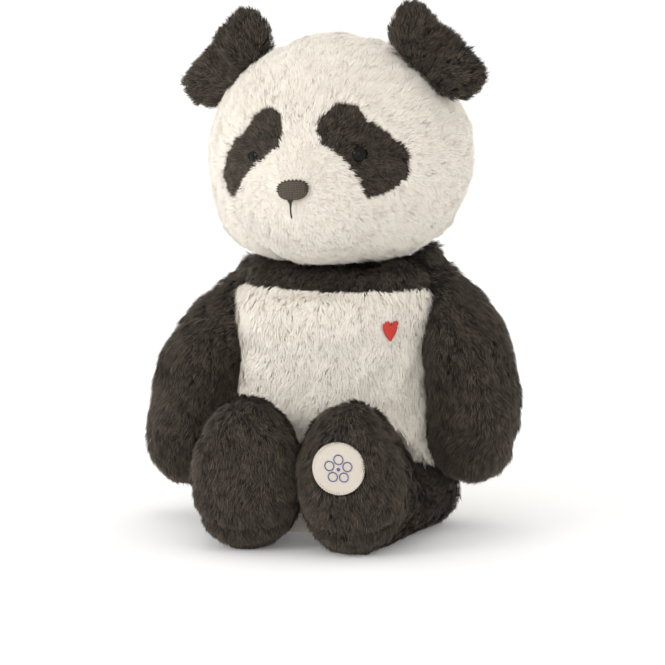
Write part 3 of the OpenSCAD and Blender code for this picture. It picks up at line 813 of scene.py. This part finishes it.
def ear_skin(side):
    """Two layers from the ear's middle out to its edge and back. Their gap follows a rounded
    cushion profile. The sheet is folded: its inner lobe comes forward up to a ridge, and then
    drops into a valley before the outer lobe, which has a smaller fold near its lower tip."""
    edge = ear_outline(EAR_SIDES)
    t = np.sin(np.linspace(0.05, math.pi - 0.05, EAR_LAYERS))[:, None]
    way = np.where(np.arange(EAR_LAYERS) < EAR_LAYERS / 2, -1.0, 1.0)[:, None]
    xz = EAR_CORE + (edge - EAR_CORE)[None, :, :] * t[..., None]
    x, z = xz[..., 0], xz[..., 1]
    thick = EAR_THICK * np.sqrt(np.maximum(1 - t**2.6, 0)) + 0 * x
    rim = 0.9 * hump(t - 0.86, 0.1)
    across = ((x - 80) + (z - 66)) * 0.7071
    fold = ((x - 80) - (z - 66)) * 0.7071 + 2.5 + 0.14 * across
    sheet = -5.5 * hump(fold + 5, 6.5) + 4.5 * hump(fold - 6.5, 6.5)
    tip = (x - 92) * 0.5 + (z - 42) * 0.866
    sheet = sheet + 2.6 * hump(tip, 3.5) * ease((fold - 8) / 12)
    sheet = sheet * ease((across + 16) / 14)
    y = EAR_Y + way * (thick + rim) + sheet
    over, up = EAR_SHIFT[side]
    q = np.stack([(x + over) * SIDES[side], y, z + up], -1).reshape(-1, 3)
    r = np.linalg.norm(q, axis=1)
    d = q / r[:, None]
    q = d * np.maximum(r, head_radius(d) + 1.5)[:, None]
    return Skin(from_head(q).reshape(EAR_LAYERS, EAR_SIDES, 3))


def off_head(p, _):
    """Whether points are clear of the head's skin."""
    q = to_head(p)
    r = np.linalg.norm(q, axis=1)
    return r > head_radius(q / r[:, None]) + 2.0


def make_ears():
    """Skins and pile of the ears. The pile lies from the root towards the edge."""
    looks = bpy.context.scene.panda_looks
    for number, (side, k) in enumerate(SIDES.items()):
        skin = ear_skin(side)
        piece = skin.piece(f"ear_skin_{side}", finish("Dark backing"))
        finish_piece(piece, f"ear_{side}", "dark_fur", f"ear_{side}_front", f"ear_{side}_back")
        root = from_head(np.array([52.0 * k, EAR_Y, 38.0]))
        grow_pile(f"ear_pile_{side}", skin, f"ear_{side}", "dark_fur", finish("Dark pile"),
                  lambda p, n, root=root: p - root, looks.pile_density * 1.1, EAR_PILE,
                  21 + number, keep=off_head)


# ---- Torso --------------------------------------------------------------------------------

# Height, half width and half depth of the torso, as shares of its whole sizes.
TORSO = np.array([
    (0, 0.74, 0.70), (0.015, 0.84, 0.82), (0.05, 0.95, 0.93), (0.13, 1, 0.98),
    (0.22, 0.97, 1), (0.33, 0.905, 1), (0.45, 0.865, 0.96), (0.58, 0.81, 0.9),
    (0.69, 0.795, 0.85), (0.79, 0.82, 0.815), (0.875, 0.84, 0.77), (0.925, 0.84, 0.7),
    (0.96, 0.8, 0.62), (0.985, 0.7, 0.53), (1, 0.54, 0.43)])
TORSO_HALF = (82.0, 71.0)
TORSO_H = 189.0
YOKE_Z = 175.0
TORSO_SIDES = 220
COLLAR = 8.5
BELLY_PILE, YOKE_PILE = (3.2, 7.6), (3.0, 6.6)
HEART = (46.0, 147.0)
HEART_HALF = (4.5, 7.2)
# How far out the torso reaches beside an arm, by distance from the joint.
ARMPIT = ([22, 31, 45, 64, 104, 140], [55.5, 61.5, 66.5, 70.5, 69.0, 76.0])
# Balls that the thighs and feet press into the torso: middle and radius.
LEG_ROOM = (((64, -5, 25.5), 26.4), ((48, -61, 39.5), 38), ((66, -61, 39.5), 37),
            ((46, -57, 50), 30))


def shoulder(side):
    """Where the arm turns."""
    return joint_place(f"arm_{side}_swing")


def torso_point(z, a):
    """Point of the torso's side at a height and an angle: its table of half sizes, by height."""
    s = z / TORSO_H
    width = np.interp(s, TORSO[:, 0], TORSO[:, 1]) * TORSO_HALF[0]
    depth = np.interp(s, TORSO[:, 0], TORSO[:, 2]) * TORSO_HALF[1]
    return np.stack(np.broadcast_arrays(width * np.sin(a), -depth * np.cos(a), z), -1)


def torso_skin():
    """Rings of the torso by height, closed in at the floor and under the neck, with a seam at
    the yoke, down the sides and down the back, hollows for the arms, pockets where the thighs
    press in, and a collar that rises towards the shoulders."""
    s = np.concatenate([[0.0, 0.006], np.linspace(0.015, 0.985, 92), [0.994, 1.0]])
    a = np.radians(np.arange(TORSO_SIDES) * 360 / TORSO_SIDES)[None, :]
    p = torso_point((s * TORSO_H)[:, None], a)
    shrink = np.array([0.35, 0.7])[:, None, None]
    floor = p[:1] * shrink * [1, 1, 0] + [0, 0, 0.6]
    rise = np.array([TORSO_H, TORSO_H + 0.5])[:, None, None]
    top = p[-1:] * shrink[::-1] * [1, 1, 0] + rise * [0, 0, 1]
    p = np.concatenate([floor, p, top])
    for side, k in SIDES.items():
        x, y, z = p[..., 0] * k, p[..., 1], p[..., 2]
        c = shoulder(side)
        rho = np.hypot(y - c[1], z - c[2])
        limit = np.interp(rho, *ARMPIT)
        x = x + 3.0 * hump(z - 140, 45) * ease((x - 20) / 40)
        x = np.where(x > 20, np.minimum(x, mix(limit, 90.0, ease((-10 - y) / 8))), x)
        for (cx, cy, cz), r in LEG_ROOM:
            inner = r * r - (x - cx) ** 2 - (z - cz) ** 2
            back = cy + np.sqrt(np.maximum(inner, 0))
            y = np.where((inner > 0) & (y < back), np.minimum(back, 30.0), y)
        z = z + COLLAR * hump(x - 52, 14) * ease((z - 172) / 12) * hump(y, 30)
        p[..., 0], p[..., 1], p[..., 2] = x * k, y, np.where(x > 0, z, p[..., 2])
    skin = Skin(p)
    q = skin.co
    seam = 1.6 * hump(q[:, 2] - YOKE_Z, 2.5) + 1.0 * hump(q[:, 1], 3) * (q[:, 2] > 12)
    seam = seam + 1.2 * hump(q[:, 0], 2.5) * (q[:, 1] > 0)
    soft = (1.6 * ripple(q, 75, 31) + 0.6 * ripple(q, 28, 32)) * ease((q[:, 2] - 4) / 20)
    skin.push(soft - seam)
    skin.co[:, 2] = np.maximum(skin.co[:, 2], 0.5)
    skin.refresh()
    return skin


def torso_flow(p, n):
    """The pile on the torso lies downwards, and slightly out from the middle."""
    return np.stack([0.12 * np.sign(p[:, 0]) * ease(np.abs(p[:, 0]) / 40),
                     -0.12 + 0 * p[:, 0], -1 + 0 * p[:, 0]], -1)


def heart_shape(x, z):
    """Above 0 inside the heart: two round lobes over a point."""
    u, v = x / HEART_HALF[0], (z + 0.8) / HEART_HALF[1]
    return 1 - (u * u + (v * 1.15 - 0.85 * np.sqrt(np.abs(u)) + 0.12) ** 2)


def heart_point(x, z, lift):
    """Points over the belly at x and z from the heart's middle, a lift off its cloth."""
    a = np.arcsin(np.clip((HEART[0] + x) / (0.79 * TORSO_HALF[0]), -0.99, 0.99))
    p = torso_point(HEART[1] + z, a)
    n = unit(np.stack([np.sin(a) / TORSO_HALF[0], -np.cos(a) / TORSO_HALF[1], 0 * a], -1))
    shift = (HEART[0] + x) - p[..., 0]
    p[..., 0] += shift
    return p + n * np.asarray(lift)[..., None]


def make_torso():
    """Skins and pile of the torso, cream below the yoke's seam and dark above it."""
    skin = torso_skin()
    looks = bpy.context.scene.panda_looks

    def above(p):
        return p[:, 2] > YOKE_Z - 2.0 + 0.4 * ripple(p, 9, 41)

    cream = skin.piece("torso_skin", finish("Cream backing"), lambda p: ~above(p))
    finish_piece(cream, "torso", "cream_fur", "belly_panel", "back_left", "back_right",
                 "base_panel", "torso_stuffing")
    dark = skin.piece("yoke_skin", finish("Dark backing"), above)
    finish_piece(dark, "torso", "dark_fur", "yoke_front", "yoke_back")
    m = skin.co[skin.tris].mean(1)
    share = np.where(m[:, 2] < 2, 0.15, 1.0)
    share *= np.where((m[:, 2] < 70) & (np.abs(m[:, 0]) > 18) & (m[:, 1] < 0), 0.6, 1.0)
    share *= np.where((m[:, 2] > 186) & (np.hypot(m[:, 0], m[:, 1]) < 30), 0.2, 1.0)

    def off_heart(p):
        return (heart_shape(p[:, 0] - HEART[0], p[:, 2] - HEART[1]) < -0.1) | (p[:, 1] > 0)

    def near_heart(p):
        gap = np.hypot(p[:, 0] - HEART[0], 0.8 * (p[:, 2] - HEART[1] - 5)) + 99 * (p[:, 1] > 0)
        return mix(*BELLY_PILE, ease((gap - 8) / 9))

    def past_yoke(p):
        return mix(*YOKE_PILE, ease((p[:, 2] - YOKE_Z) / 9))

    grow_pile("torso_pile", skin, "torso", "cream_fur", finish("Cream pile"), torso_flow,
              looks.pile_density, near_heart, 13, share=share * (m[:, 2] < YOKE_Z + 5),
              keep=lambda p, q: ~above(q) & off_heart(p), lift=0.32, clump=0.2, jitter=0.07)
    grow_pile("yoke_pile", skin, "torso", "dark_fur", finish("Dark pile"), torso_flow,
              looks.pile_density * 1.1, past_yoke, 14, share=share * (m[:, 2] > YOKE_Z - 3),
              keep=lambda p, q: above(q))


def make_heart():
    """Embroidered heart: rows of satin stitches laid side by side across the heart, each a
    thread that rises over a low crown."""
    z = np.arange(-8.0, 8.0, 0.34)
    x = np.linspace(-7, 7, 281)
    rows = []
    for height in z:
        hit = x[heart_shape(x, height + 0 * x) > 0]
        split = np.split(hit, np.nonzero(np.diff(hit) > 0.06)[0] + 1) if len(hit) else []
        rows += [(part[0], part[-1], height) for part in split if part[-1] - part[0] > 0.4]
    rows = np.array(rows)
    t = np.linspace(0, 1, 9)[None, :]
    px = mix(rows[:, :1], rows[:, 1:2], t)
    pz = rows[:, 2:] + 0.5 * (t - 0.5)
    crown = 3.6 + 1.7 * np.sqrt(np.maximum(1 - (2 * t - 1) ** 2, 0)) * np.ones_like(px)
    crown = crown * np.where((t < 0.01) | (t > 0.99), 0.75, 1.0)
    co, faces, uv = tubes(heart_point(px, pz, crown), 0.3, 6)
    heart = build_mesh("heart_stitches", co, faces, finish("Red thread"), uv)
    finish_piece(heart, "torso", "thread_red", "heart")


# ---- Arms ---------------------------------------------------------------------------------

ARM_ROOT_R, ARM_PAW_R = 21.5, 29.5
ARM_STEPS = 56
ARM_PILE = 7.6
SHOULDER_Z = 165


def arm_curve(side):
    """The four control points of the arm's middle curve, drawn on the left. A higher shoulder
    carries its arm up with it, and the paw further in."""
    c = shoulder(side) * [SIDES[side], 1, 1]
    s = c[2] - SHOULDER_Z
    return np.array([c, [85, -2, 151 + 0.8 * s], [110.3 + 0.5 * s, -8, 118 + 0.6 * s],
                     [103.6 - 0.5 * s, -8, 62 + 0.66 * s]])


def curve_at(p, s):
    """Point of the curve at s, and its way."""
    s = s[:, None]
    t = 1 - s
    point = t**3 * p[0] + 3 * s * t**2 * p[1] + 3 * s**2 * t * p[2] + s**3 * p[3]
    way = t**2 * (p[1] - p[0]) + 2 * s * t * (p[2] - p[1]) + s**2 * (p[3] - p[2])
    return point, unit(way)


def arm_skin(side):
    """Rings square to the arm's middle curve: a ball at the root with a crest on the shoulder, a
    swelling middle with soft bulges, and a round paw. The left arm has a dimple inside."""
    root = np.radians(np.linspace(-86, -4, 14))
    tip = np.radians(np.linspace(4, 87, 18))
    s = np.concatenate([0 * root, np.linspace(0, 1, ARM_STEPS), 1 + 0 * tip])
    lean = np.concatenate([root, np.zeros(ARM_STEPS), tip])
    point, way = curve_at(arm_curve(side), s)
    radius = mix(ARM_ROOT_R, ARM_PAW_R, ease(1.5 * s))
    out = unit(np.cross(way, np.array([0, 1.0, 0])))
    up = np.cross(way, out)
    a = np.radians(np.arange(90) * 4)
    centre = point + way * (radius * np.sin(lean))[:, None]
    swell = 0.085 * np.sin(math.pi * np.clip(s, 0, 1))[:, None] * ease(0.5 - 0.7 * np.cos(a))
    crest = 0.12 * hump(s, 0.15) + 0.5 * hump(s, 0.1) * hump(np.degrees(lean) + 38, 26)
    bulge = 1 + swell + crest[:, None] * ease(np.cos(a))
    size = (radius * np.cos(lean) ** 0.92)[:, None] * bulge
    p = (centre[:, None, :] + size[..., None] * (np.cos(a)[:, None] * out[:, None, :]
                                                 + np.sin(a)[:, None] * up[:, None, :]))
    p[..., 1] += 14 * hump(s, 0.36)[:, None] * ease(0.5 + np.sin(a))
    p[..., 0] *= SIDES[side]
    skin = Skin(p)
    q = skin.co * [SIDES[side], 1, 1]
    along_arm = ease((q[:, 0] - 66) / 12)
    soft = (1.5 * ripple(q + 100 * SIDES[side], 52, 51) + 0.5 * ripple(q, 20, 52)) * along_arm
    dimple = 1.8 * hump(np.hypot(q[:, 2] - 118, q[:, 0] - 80), 11) * (side == "left")
    skin.push(soft - dimple)
    return skin


def make_arms():
    """Skins and pile of the arms. The pile lies towards the paw."""
    looks = bpy.context.scene.panda_looks
    for number, (side, k) in enumerate(SIDES.items()):
        skin = arm_skin(side)
        piece = skin.piece(f"arm_skin_{side}", finish("Dark backing"))
        finish_piece(piece, f"arm_{side}", "dark_fur", f"arm_{side}_outer",
                     f"arm_{side}_inner", f"arm_{side}_stuffing")
        line, ways = curve_at(arm_curve(side), np.linspace(0, 1, 40))

        def flow(p, n, k=k, line=line, ways=ways):
            q = p * [k, 1, 1]
            near = np.argmin(((q[:, None, :] - line[None]) ** 2).sum(-1), axis=1)
            past = ease((70 - q[:, 2]) / 45)[:, None]
            return (mix(ways[near], np.array([-0.25, 0.35, -0.9]), past)) * [k, 1, 1]

        m = skin.co[skin.tris].mean(1)
        share = np.where(np.linalg.norm(m - shoulder(side), axis=1) < 22, 0.25, 1.0)
        grow_pile(f"arm_pile_{side}", skin, f"arm_{side}", "dark_fur", finish("Dark pile"),
                  flow, looks.pile_density * 1.15, ARM_PILE, 61 + number, share=share,
                  width=0.44, clump=0.26)


# ---- Legs ---------------------------------------------------------------------------------

LEG_ROOT_R, FOOT_HALF = 24.0, {"left": (40.0, 52.0), "right": (38.5, 52.0)}
FOOT_X, FOOT_Y, SOLE = {"left": 38.0, "right": 40.2}, -112.0, 26.0
SOLE_EDGE = 0.6
LEG_STEPS = 44
LEG_PILE = 7.0
BADGE = (33.0, 64.5)
BADGE_R = 18.0
BADGE_STITCHES = 64
PETALS, PETAL_R, PETAL_RING, DOT_R = 5, 3.15, 6.6, 0.8


def leg_rings(side, sides):
    """Rings of a leg, drawn on the left: a ball at the hip, a thigh that swells, and a foot whose
    sole is a flattened dome. The half sizes grow by a smooth step, the height later than the
    width. The left foot narrows towards its outer top."""
    root = np.radians(np.linspace(-86, -6, 12))
    tip = np.radians(np.linspace(3, 87, 30))
    s = np.concatenate([0 * root, np.linspace(0, 1, LEG_STEPS), 1 + 0 * tip])
    shift = np.concatenate([LEG_ROOT_R * np.sin(root), np.zeros(LEG_STEPS), SOLE * np.sin(tip)])
    scale = np.concatenate([np.cos(root), np.ones(LEG_STEPS), np.cos(tip) ** SOLE_EDGE])
    wider, taller = ease(s) ** 2, ease(s) ** 5
    c = joint_place("leg_left_spread")
    foot = FOOT_HALF[side]
    wide = mix(LEG_ROOT_R, foot[0], wider) * scale
    tall = mix(LEG_ROOT_R, foot[1], taller) * scale
    centre = np.stack([mix(c[0], FOOT_X[side], s * (1.5 - 0.5 * s)), mix(c[1], FOOT_Y, s) - shift,
                       mix(LEG_ROOT_R, foot[1], taller) + c[2] - LEG_ROOT_R], -1)
    a = 2 * math.pi * np.arange(sides) / sides
    egg = 0.36 * (side == "left") * ease(s)[:, None] ** 3 * ease(np.sin(a)) * ease(np.cos(a) + 0.3)
    thigh = 1 - egg + 0.18 * hump(s - 0.28, 0.2)[:, None] * ease(np.cos(a))[None, :]
    return np.stack([centre[:, :1] + wide[:, None] * np.cos(a) * thigh,
                     centre[:, 1:2] + 0 * a, centre[:, 2:] + tall[:, None] * np.sin(a)], -1)


def leg_skin(side):
    """The leg's rings with soft bulges, a groove along the seam of the sole, and a crease low on
    the sole."""
    p = leg_rings(side, 110)
    p[..., 0] *= SIDES[side]
    skin = Skin(p)
    q = skin.co * [SIDES[side], 1, 1]
    seam = 2.4 * hump(q[:, 1] - (FOOT_Y - 7) - 0.1 * (q[:, 2] - 52), 2.6)
    free = ease((-q[:, 1] - 10) / 30)
    soft = (1.3 * ripple(q + 150 * SIDES[side], 55, 55) + 0.5 * ripple(q, 22, 56)) * free
    curl = q[:, 2] - 19 - 0.006 * (q[:, 0] - FOOT_X[side]) ** 2
    crease = 2.4 * hump(curl, 2.4) * ease((FOOT_Y - q[:, 1]) / 8)
    skin.push(soft - seam - crease)
    skin.co[:, 2] = np.maximum(skin.co[:, 2], 0.8)
    skin.refresh()
    return skin


def sole_point(x, z, lift):
    """Points over the left sole at x and z, a lift off its cloth."""
    mid, (wide, tall) = FOOT_X["left"], FOOT_HALF["left"]
    u = np.abs((x - mid) / wide)
    v = np.abs((z - tall - 1.5) / tall)
    rho = np.clip(np.hypot(u, v), 0, 0.999)
    power = 2 / SOLE_EDGE
    fall = np.sqrt(1 - rho**power)
    y = FOOT_Y - SOLE * fall
    steep = SOLE * rho ** (power - 1) / (SOLE_EDGE * fall * np.maximum(rho, 1e-6))
    n = unit(np.stack(np.broadcast_arrays(
        steep * (x - mid) / wide**2, -1.0 + 0 * x, steep * (z - tall - 1.5) / tall**2), -1))
    return np.stack(np.broadcast_arrays(x, y, z), -1) + n * np.asarray(lift)[..., None]


def make_legs():
    """Skins and pile of the legs. The pile lies towards the foot, and on the sole downwards."""
    looks = bpy.context.scene.panda_looks
    for number, (side, k) in enumerate(SIDES.items()):
        skin = leg_skin(side)
        piece = skin.piece(f"leg_skin_{side}", finish("Dark backing"))
        finish_piece(piece, f"leg_{side}", "dark_fur", f"leg_{side}_outer",
                     f"leg_{side}_inner", f"leg_{side}_sole", f"leg_{side}_stuffing")

        def flow(p, n, side=side, k=k):
            sole = ease((-p[:, 1] + FOOT_Y + 4) / 14)[:, None]
            leg = np.stack([-0.15 * k + 0 * p[:, 0], -0.75 + 0 * p[:, 0], -0.55 + 0 * p[:, 0]], -1)
            over = 0.4 * (p[:, 0] - FOOT_X[side] * k) / FOOT_HALF[side][0]
            down = np.stack([over, 0 * over, 0 * over - 1], -1)
            return mix(leg, down, sole)

        def free(p, _, side=side):
            up = p[:, 2] - BADGE[1]
            on_badge = np.hypot(p[:, 0] - BADGE[0], up - np.clip(up, 0, 5)) < BADGE_R - 0.6
            return ~(on_badge & (p[:, 1] < FOOT_Y) & (side == "left")) & (p[:, 2] > 1.0)

        m = skin.co[skin.tris].mean(1)
        share = np.where(m[:, 1] > -22, 0.45, 1.0)
        grow_pile(f"leg_pile_{side}", skin, f"leg_{side}", "dark_fur", finish("Dark pile"),
                  flow, looks.pile_density * 1.15, LEG_PILE, 81 + number, keep=free,
                  share=share, width=0.44, clump=0.26)


def make_badge():
    """Round felt badge on the left sole, its edge turned over, a ring of whipped stitches along
    the edge, and a five-petalled flower in satin stitch."""
    a = 2 * math.pi * np.arange(120) / 120
    r = np.concatenate([np.linspace(0.04, 0.96, 22), [0.99, 1.0, 0.995, 0.9, 0.5]])
    lift = np.concatenate([np.full(22, 4.3), [4.1, 3.5, 2.6, 2.2, 2.2]])
    x = BADGE[0] + BADGE_R * r[:, None] * np.sin(a)
    z = BADGE[1] + BADGE_R * r[:, None] * np.cos(a)
    wave = 0.25 * np.sin(3 * a + 0.6) * r[:, None] ** 3
    p = sole_point(x, z, lift[:, None] + wave)
    felt = Skin(p).piece("badge_disc", finish("Badge felt"))
    finish_piece(felt, "leg_left", "badge_felt", "badge_felt")
    b = 2 * math.pi * (np.arange(BADGE_STITCHES) / BADGE_STITCHES)[:, None]
    t = np.linspace(0, 1, 7)[None, :]
    reach = BADGE_R * mix(0.885, 1.02, t)
    turn = b + 0.045 * (t - 0.5)
    rise = 4.45 + 0.35 * np.sin(t * math.pi) - 1.9 * t**5
    paths = sole_point(BADGE[0] + reach * np.sin(turn), BADGE[1] + reach * np.cos(turn),
                       rise + 0 * turn)
    co, faces, uv = tubes(paths, 0.36, 6)
    edge = build_mesh("badge_edge_thread", co, faces, finish("Cream thread"), uv)
    finish_piece(edge, "leg_left", "thread_cream", "badge_edge_stitching")
    spots = []
    for petal in range(PETALS):
        at = math.radians(90 + 360 / PETALS * petal)
        c = np.linspace(0, 2 * math.pi, 27)[:-1]
        spots.append(np.stack([PETAL_RING * math.cos(at) + PETAL_R * np.cos(c),
                               PETAL_RING * math.sin(at) + PETAL_R * np.sin(c),
                               np.cos(c), np.sin(c)], -1))
    c = np.linspace(0, 2 * math.pi, 13)[:-1]
    spots.append(np.stack([DOT_R * np.cos(c), DOT_R * np.sin(c), np.cos(c), np.sin(c)], -1))
    spots = np.concatenate(spots)
    t = np.linspace(-0.5, 0.5, 5)[None, :]
    x = spots[:, :1] + spots[:, 2:3] * t + spots[:, 3:] * t * 0.25
    z = spots[:, 1:2] + spots[:, 3:] * t - spots[:, 2:3] * t * 0.25
    rise = 4.42 + 0.3 * np.cos(t * math.pi)
    co, faces, uv = tubes(sole_point(BADGE[0] + x, BADGE[1] + z, rise + 0 * x), 0.3, 6)
    flower = build_mesh("badge_flower", co, faces, finish("Blue thread"), uv)
    finish_piece(flower, "leg_left", "thread_blue", "badge_motif")


def make_inside():
    """Finishes of the pieces inside the panda, which keep their own meshes."""
    kinds = {"Filling": ("stuffing",), "Pouch cloth": ("bean_pouch",), "Pellets": ("bean_pellets",),
             "Washer plastic": ("washer",), "Dark thread": ("seam",),
             "Cream thread": ("closing_stitches",)}
    for name, piece in frame["nodes"].items():
        for kind, words in kinds.items():
            if any(word in name for word in words):
                piece.data.materials.clear()
                piece.data.materials.append(finish(kind))


# ---- Stage --------------------------------------------------------------------------------

LOOK_AT = (-3.9, -0.9, 138.0)
LENS, FILM = 223.3, 36


def aimed(name, data, place, target):
    """Light or camera at a place in the scene, turned to face the target."""
    thing = bpy.data.objects.new(name, data)
    bpy.context.scene.collection.objects.link(thing)
    thing.location = place
    way = thing.location.copy()
    thing.rotation_euler = (way - type(way)(target)).to_track_quat("Z", "Y").to_euler()
    return thing


def make_stage():
    """Pale floor that curves up into a backdrop and glows faintly as painted light, soft studio
    lights, and the camera.
    """
    t = np.linspace(0, 1, 24)
    bend = t[1:] * math.pi / 2
    y = np.concatenate([[-6.0], np.linspace(-2.0, 2.2, 10), 2.2 + 1.5 * np.sin(bend)])
    z = np.concatenate([[0.0], np.zeros(10), 1.5 * (1 - np.cos(bend))])
    y, z = np.append(y, 3.7), np.append(z, 6.0)
    x = np.linspace(-6, 6, 13)
    grid = np.stack(np.broadcast_arrays(x[None, :], y[:, None], z[:, None]), -1) / MM - PLACE
    m, n = grid.shape[:2]
    i, j = np.meshgrid(np.arange(m - 1), np.arange(n - 1), indexing="ij")
    a = (i * n + j).ravel()
    # The paper glows faintly though it is no lamp, a painted light that lifts the shadows on the
    # floor.
    material, nodes, surface = new_material(
        "Backdrop paper", **{"Roughness": 0.9, "Specular IOR Level": 0.1,
                             "Emission Color": (1, 1, 1, 1), "Emission Strength": 0.1})
    place = nodes.add("ShaderNodeTexCoord").outputs["Object"]
    grain = nodes.add("ShaderNodeTexNoise")
    grain.inputs["Scale"].default_value = 3
    nodes.join(place, grain.inputs["Vector"])
    paper = ramp(nodes, grain.outputs["Fac"], [(0.3, (0.93,) * 3), (0.7, (0.95,) * 3)])
    nodes.join(paper, surface.inputs["Base Color"])
    floor = build_mesh("floor", grid.reshape(-1, 3), [np.stack([a, a + 1, a + n + 1, a + n], -1)],
                       material)
    looks = bpy.context.scene.panda_looks
    target = (np.array(LOOK_AT) + PLACE) * MM
    for name, place, size, power in (
            ("Key light", (-1.8, -2.1, 0.95), 1.1, looks.key_power),
            ("Fill light", (0.2, -2.7, 0.5), 1.6, looks.key_power * 0.42),
            ("Top light", (-0.3, 0.5, 2.4), 1.6, looks.key_power * 0.25)):
        light = bpy.data.lights.new(name, "AREA")
        light.size = size
        light.energy = power
        aimed(name, light, target + np.array(place), target)
    world = bpy.data.worlds.new("Studio")
    world.use_nodes = True
    world.node_tree.nodes["Background"].inputs["Color"].default_value = (1.0, 0.985, 0.965, 1)
    world.node_tree.nodes["Background"].inputs["Strength"].default_value = looks.room_light
    bpy.context.scene.world = world
    bpy.context.scene.view_settings.view_transform = "Standard"
    azimuth, elevation = math.radians(looks.camera_turn), math.radians(looks.camera_height)
    way = np.array([math.sin(azimuth) * math.cos(elevation),
                    -math.cos(azimuth) * math.cos(elevation), math.sin(elevation)])
    camera = bpy.data.cameras.new("Camera")
    camera.lens, camera.sensor_width, camera.clip_end = LENS, FILM, 50
    eye = aimed("Camera", camera, target + way * looks.camera_distance, target)
    bpy.context.scene.camera = eye


# ---- Add-on -------------------------------------------------------------------------------


class PandaLooks(bpy.types.PropertyGroup):
    """Sizes and colours a user may change."""

    dark_fur: bpy.props.FloatVectorProperty(
        name="Dark fur", description="Colour of the dark pile half way up", subtype="COLOR",
        default=(0.0245, 0.0192, 0.0144), min=0, max=1)
    cream_fur: bpy.props.FloatVectorProperty(
        name="Cream fur", description="Colour of the cream pile half way up", subtype="COLOR",
        default=(0.95, 0.895, 0.81), min=0, max=1)
    pile_density: bpy.props.FloatProperty(
        name="Pile density", description="Strands on each square millimetre", default=2.75,
        min=0.2, max=4)
    key_power: bpy.props.FloatProperty(
        name="Key light", description="Power of the key light", default=22.0, min=0, unit="POWER")
    room_light: bpy.props.FloatProperty(
        name="Room light", description="Strength of the even light all round", default=0.95, min=0)
    camera_turn: bpy.props.FloatProperty(
        name="Camera turn", description="Degrees round the panda from its front", default=13.0)
    camera_height: bpy.props.FloatProperty(
        name="Camera height", description="Degrees above the floor", default=9.0)
    camera_distance: bpy.props.FloatProperty(
        name="Camera distance", description="Distance to the panda's middle", default=3.0,
        unit="LENGTH")


class MakeStage(bpy.types.Operator):
    """Make the floor, the lights and the camera"""

    bl_idname = "panda.make_stage"
    bl_label = "Stage"

    def execute(self, context):
        make_stage()
        return {"FINISHED"}


class MakeHead(bpy.types.Operator):
    """Make the head's skins and pile"""

    bl_idname = "panda.make_head"
    bl_label = "Head"

    def execute(self, context):
        make_head()
        return {"FINISHED"}


class MakeFace(bpy.types.Operator):
    """Make the nose, the mouth and the eyes"""

    bl_idname = "panda.make_face"
    bl_label = "Face"

    def execute(self, context):
        make_nose()
        make_mouth()
        make_eyes()
        return {"FINISHED"}


class MakeEars(bpy.types.Operator):
    """Make the ears' skins and pile"""

    bl_idname = "panda.make_ears"
    bl_label = "Ears"

    def execute(self, context):
        make_ears()
        return {"FINISHED"}


class MakeTorso(bpy.types.Operator):
    """Make the torso's skins and pile"""

    bl_idname = "panda.make_torso"
    bl_label = "Torso"

    def execute(self, context):
        make_torso()
        return {"FINISHED"}


class MakeHeart(bpy.types.Operator):
    """Make the embroidered heart"""

    bl_idname = "panda.make_heart"
    bl_label = "Heart"

    def execute(self, context):
        make_heart()
        return {"FINISHED"}


class MakeArms(bpy.types.Operator):
    """Make the arms' skins and pile"""

    bl_idname = "panda.make_arms"
    bl_label = "Arms"

    def execute(self, context):
        make_arms()
        return {"FINISHED"}


class MakeLegs(bpy.types.Operator):
    """Make the legs' skins and pile"""

    bl_idname = "panda.make_legs"
    bl_label = "Legs"

    def execute(self, context):
        make_legs()
        return {"FINISHED"}


class MakeBadge(bpy.types.Operator):
    """Make the felt badge and its stitches"""

    bl_idname = "panda.make_badge"
    bl_label = "Badge"

    def execute(self, context):
        make_badge()
        return {"FINISHED"}


class MakeInside(bpy.types.Operator):
    """Finish the filling, the pouch, the washers and the seams"""

    bl_idname = "panda.make_inside"
    bl_label = "Inside"

    def execute(self, context):
        make_inside()
        return {"FINISHED"}


STEPS = (MakeStage, MakeHead, MakeFace, MakeEars, MakeTorso, MakeHeart, MakeArms, MakeLegs,
         MakeBadge, MakeInside)


class PandaPanel(bpy.types.Panel):
    """Panel that lists the steps and the looks"""

    bl_idname = "VIEW3D_PT_panda"
    bl_label = "Plush panda"
    bl_space_type = "VIEW_3D"
    bl_region_type = "UI"
    bl_category = "Panda"

    def draw(self, context):
        for key in PandaLooks.__annotations__:
            self.layout.prop(context.scene.panda_looks, key)
        for step in STEPS:
            self.layout.operator(step.bl_idname)


def register():
    """Registers the classes and the looks."""
    for kind in (PandaLooks, *STEPS, PandaPanel):
        bpy.utils.register_class(kind)
    bpy.types.Scene.panda_looks = bpy.props.PointerProperty(type=PandaLooks)


def unregister():
    """Takes the classes and the looks away."""
    del bpy.types.Scene.panda_looks
    for kind in reversed((PandaLooks, *STEPS, PandaPanel)):
        bpy.utils.unregister_class(kind)


def main():
    """Makes every piece in order."""
    register()
    for step in STEPS:
        group, name = step.bl_idname.split(".")
        getattr(getattr(bpy.ops, group), name)()


if __name__ == "__main__":
    main()
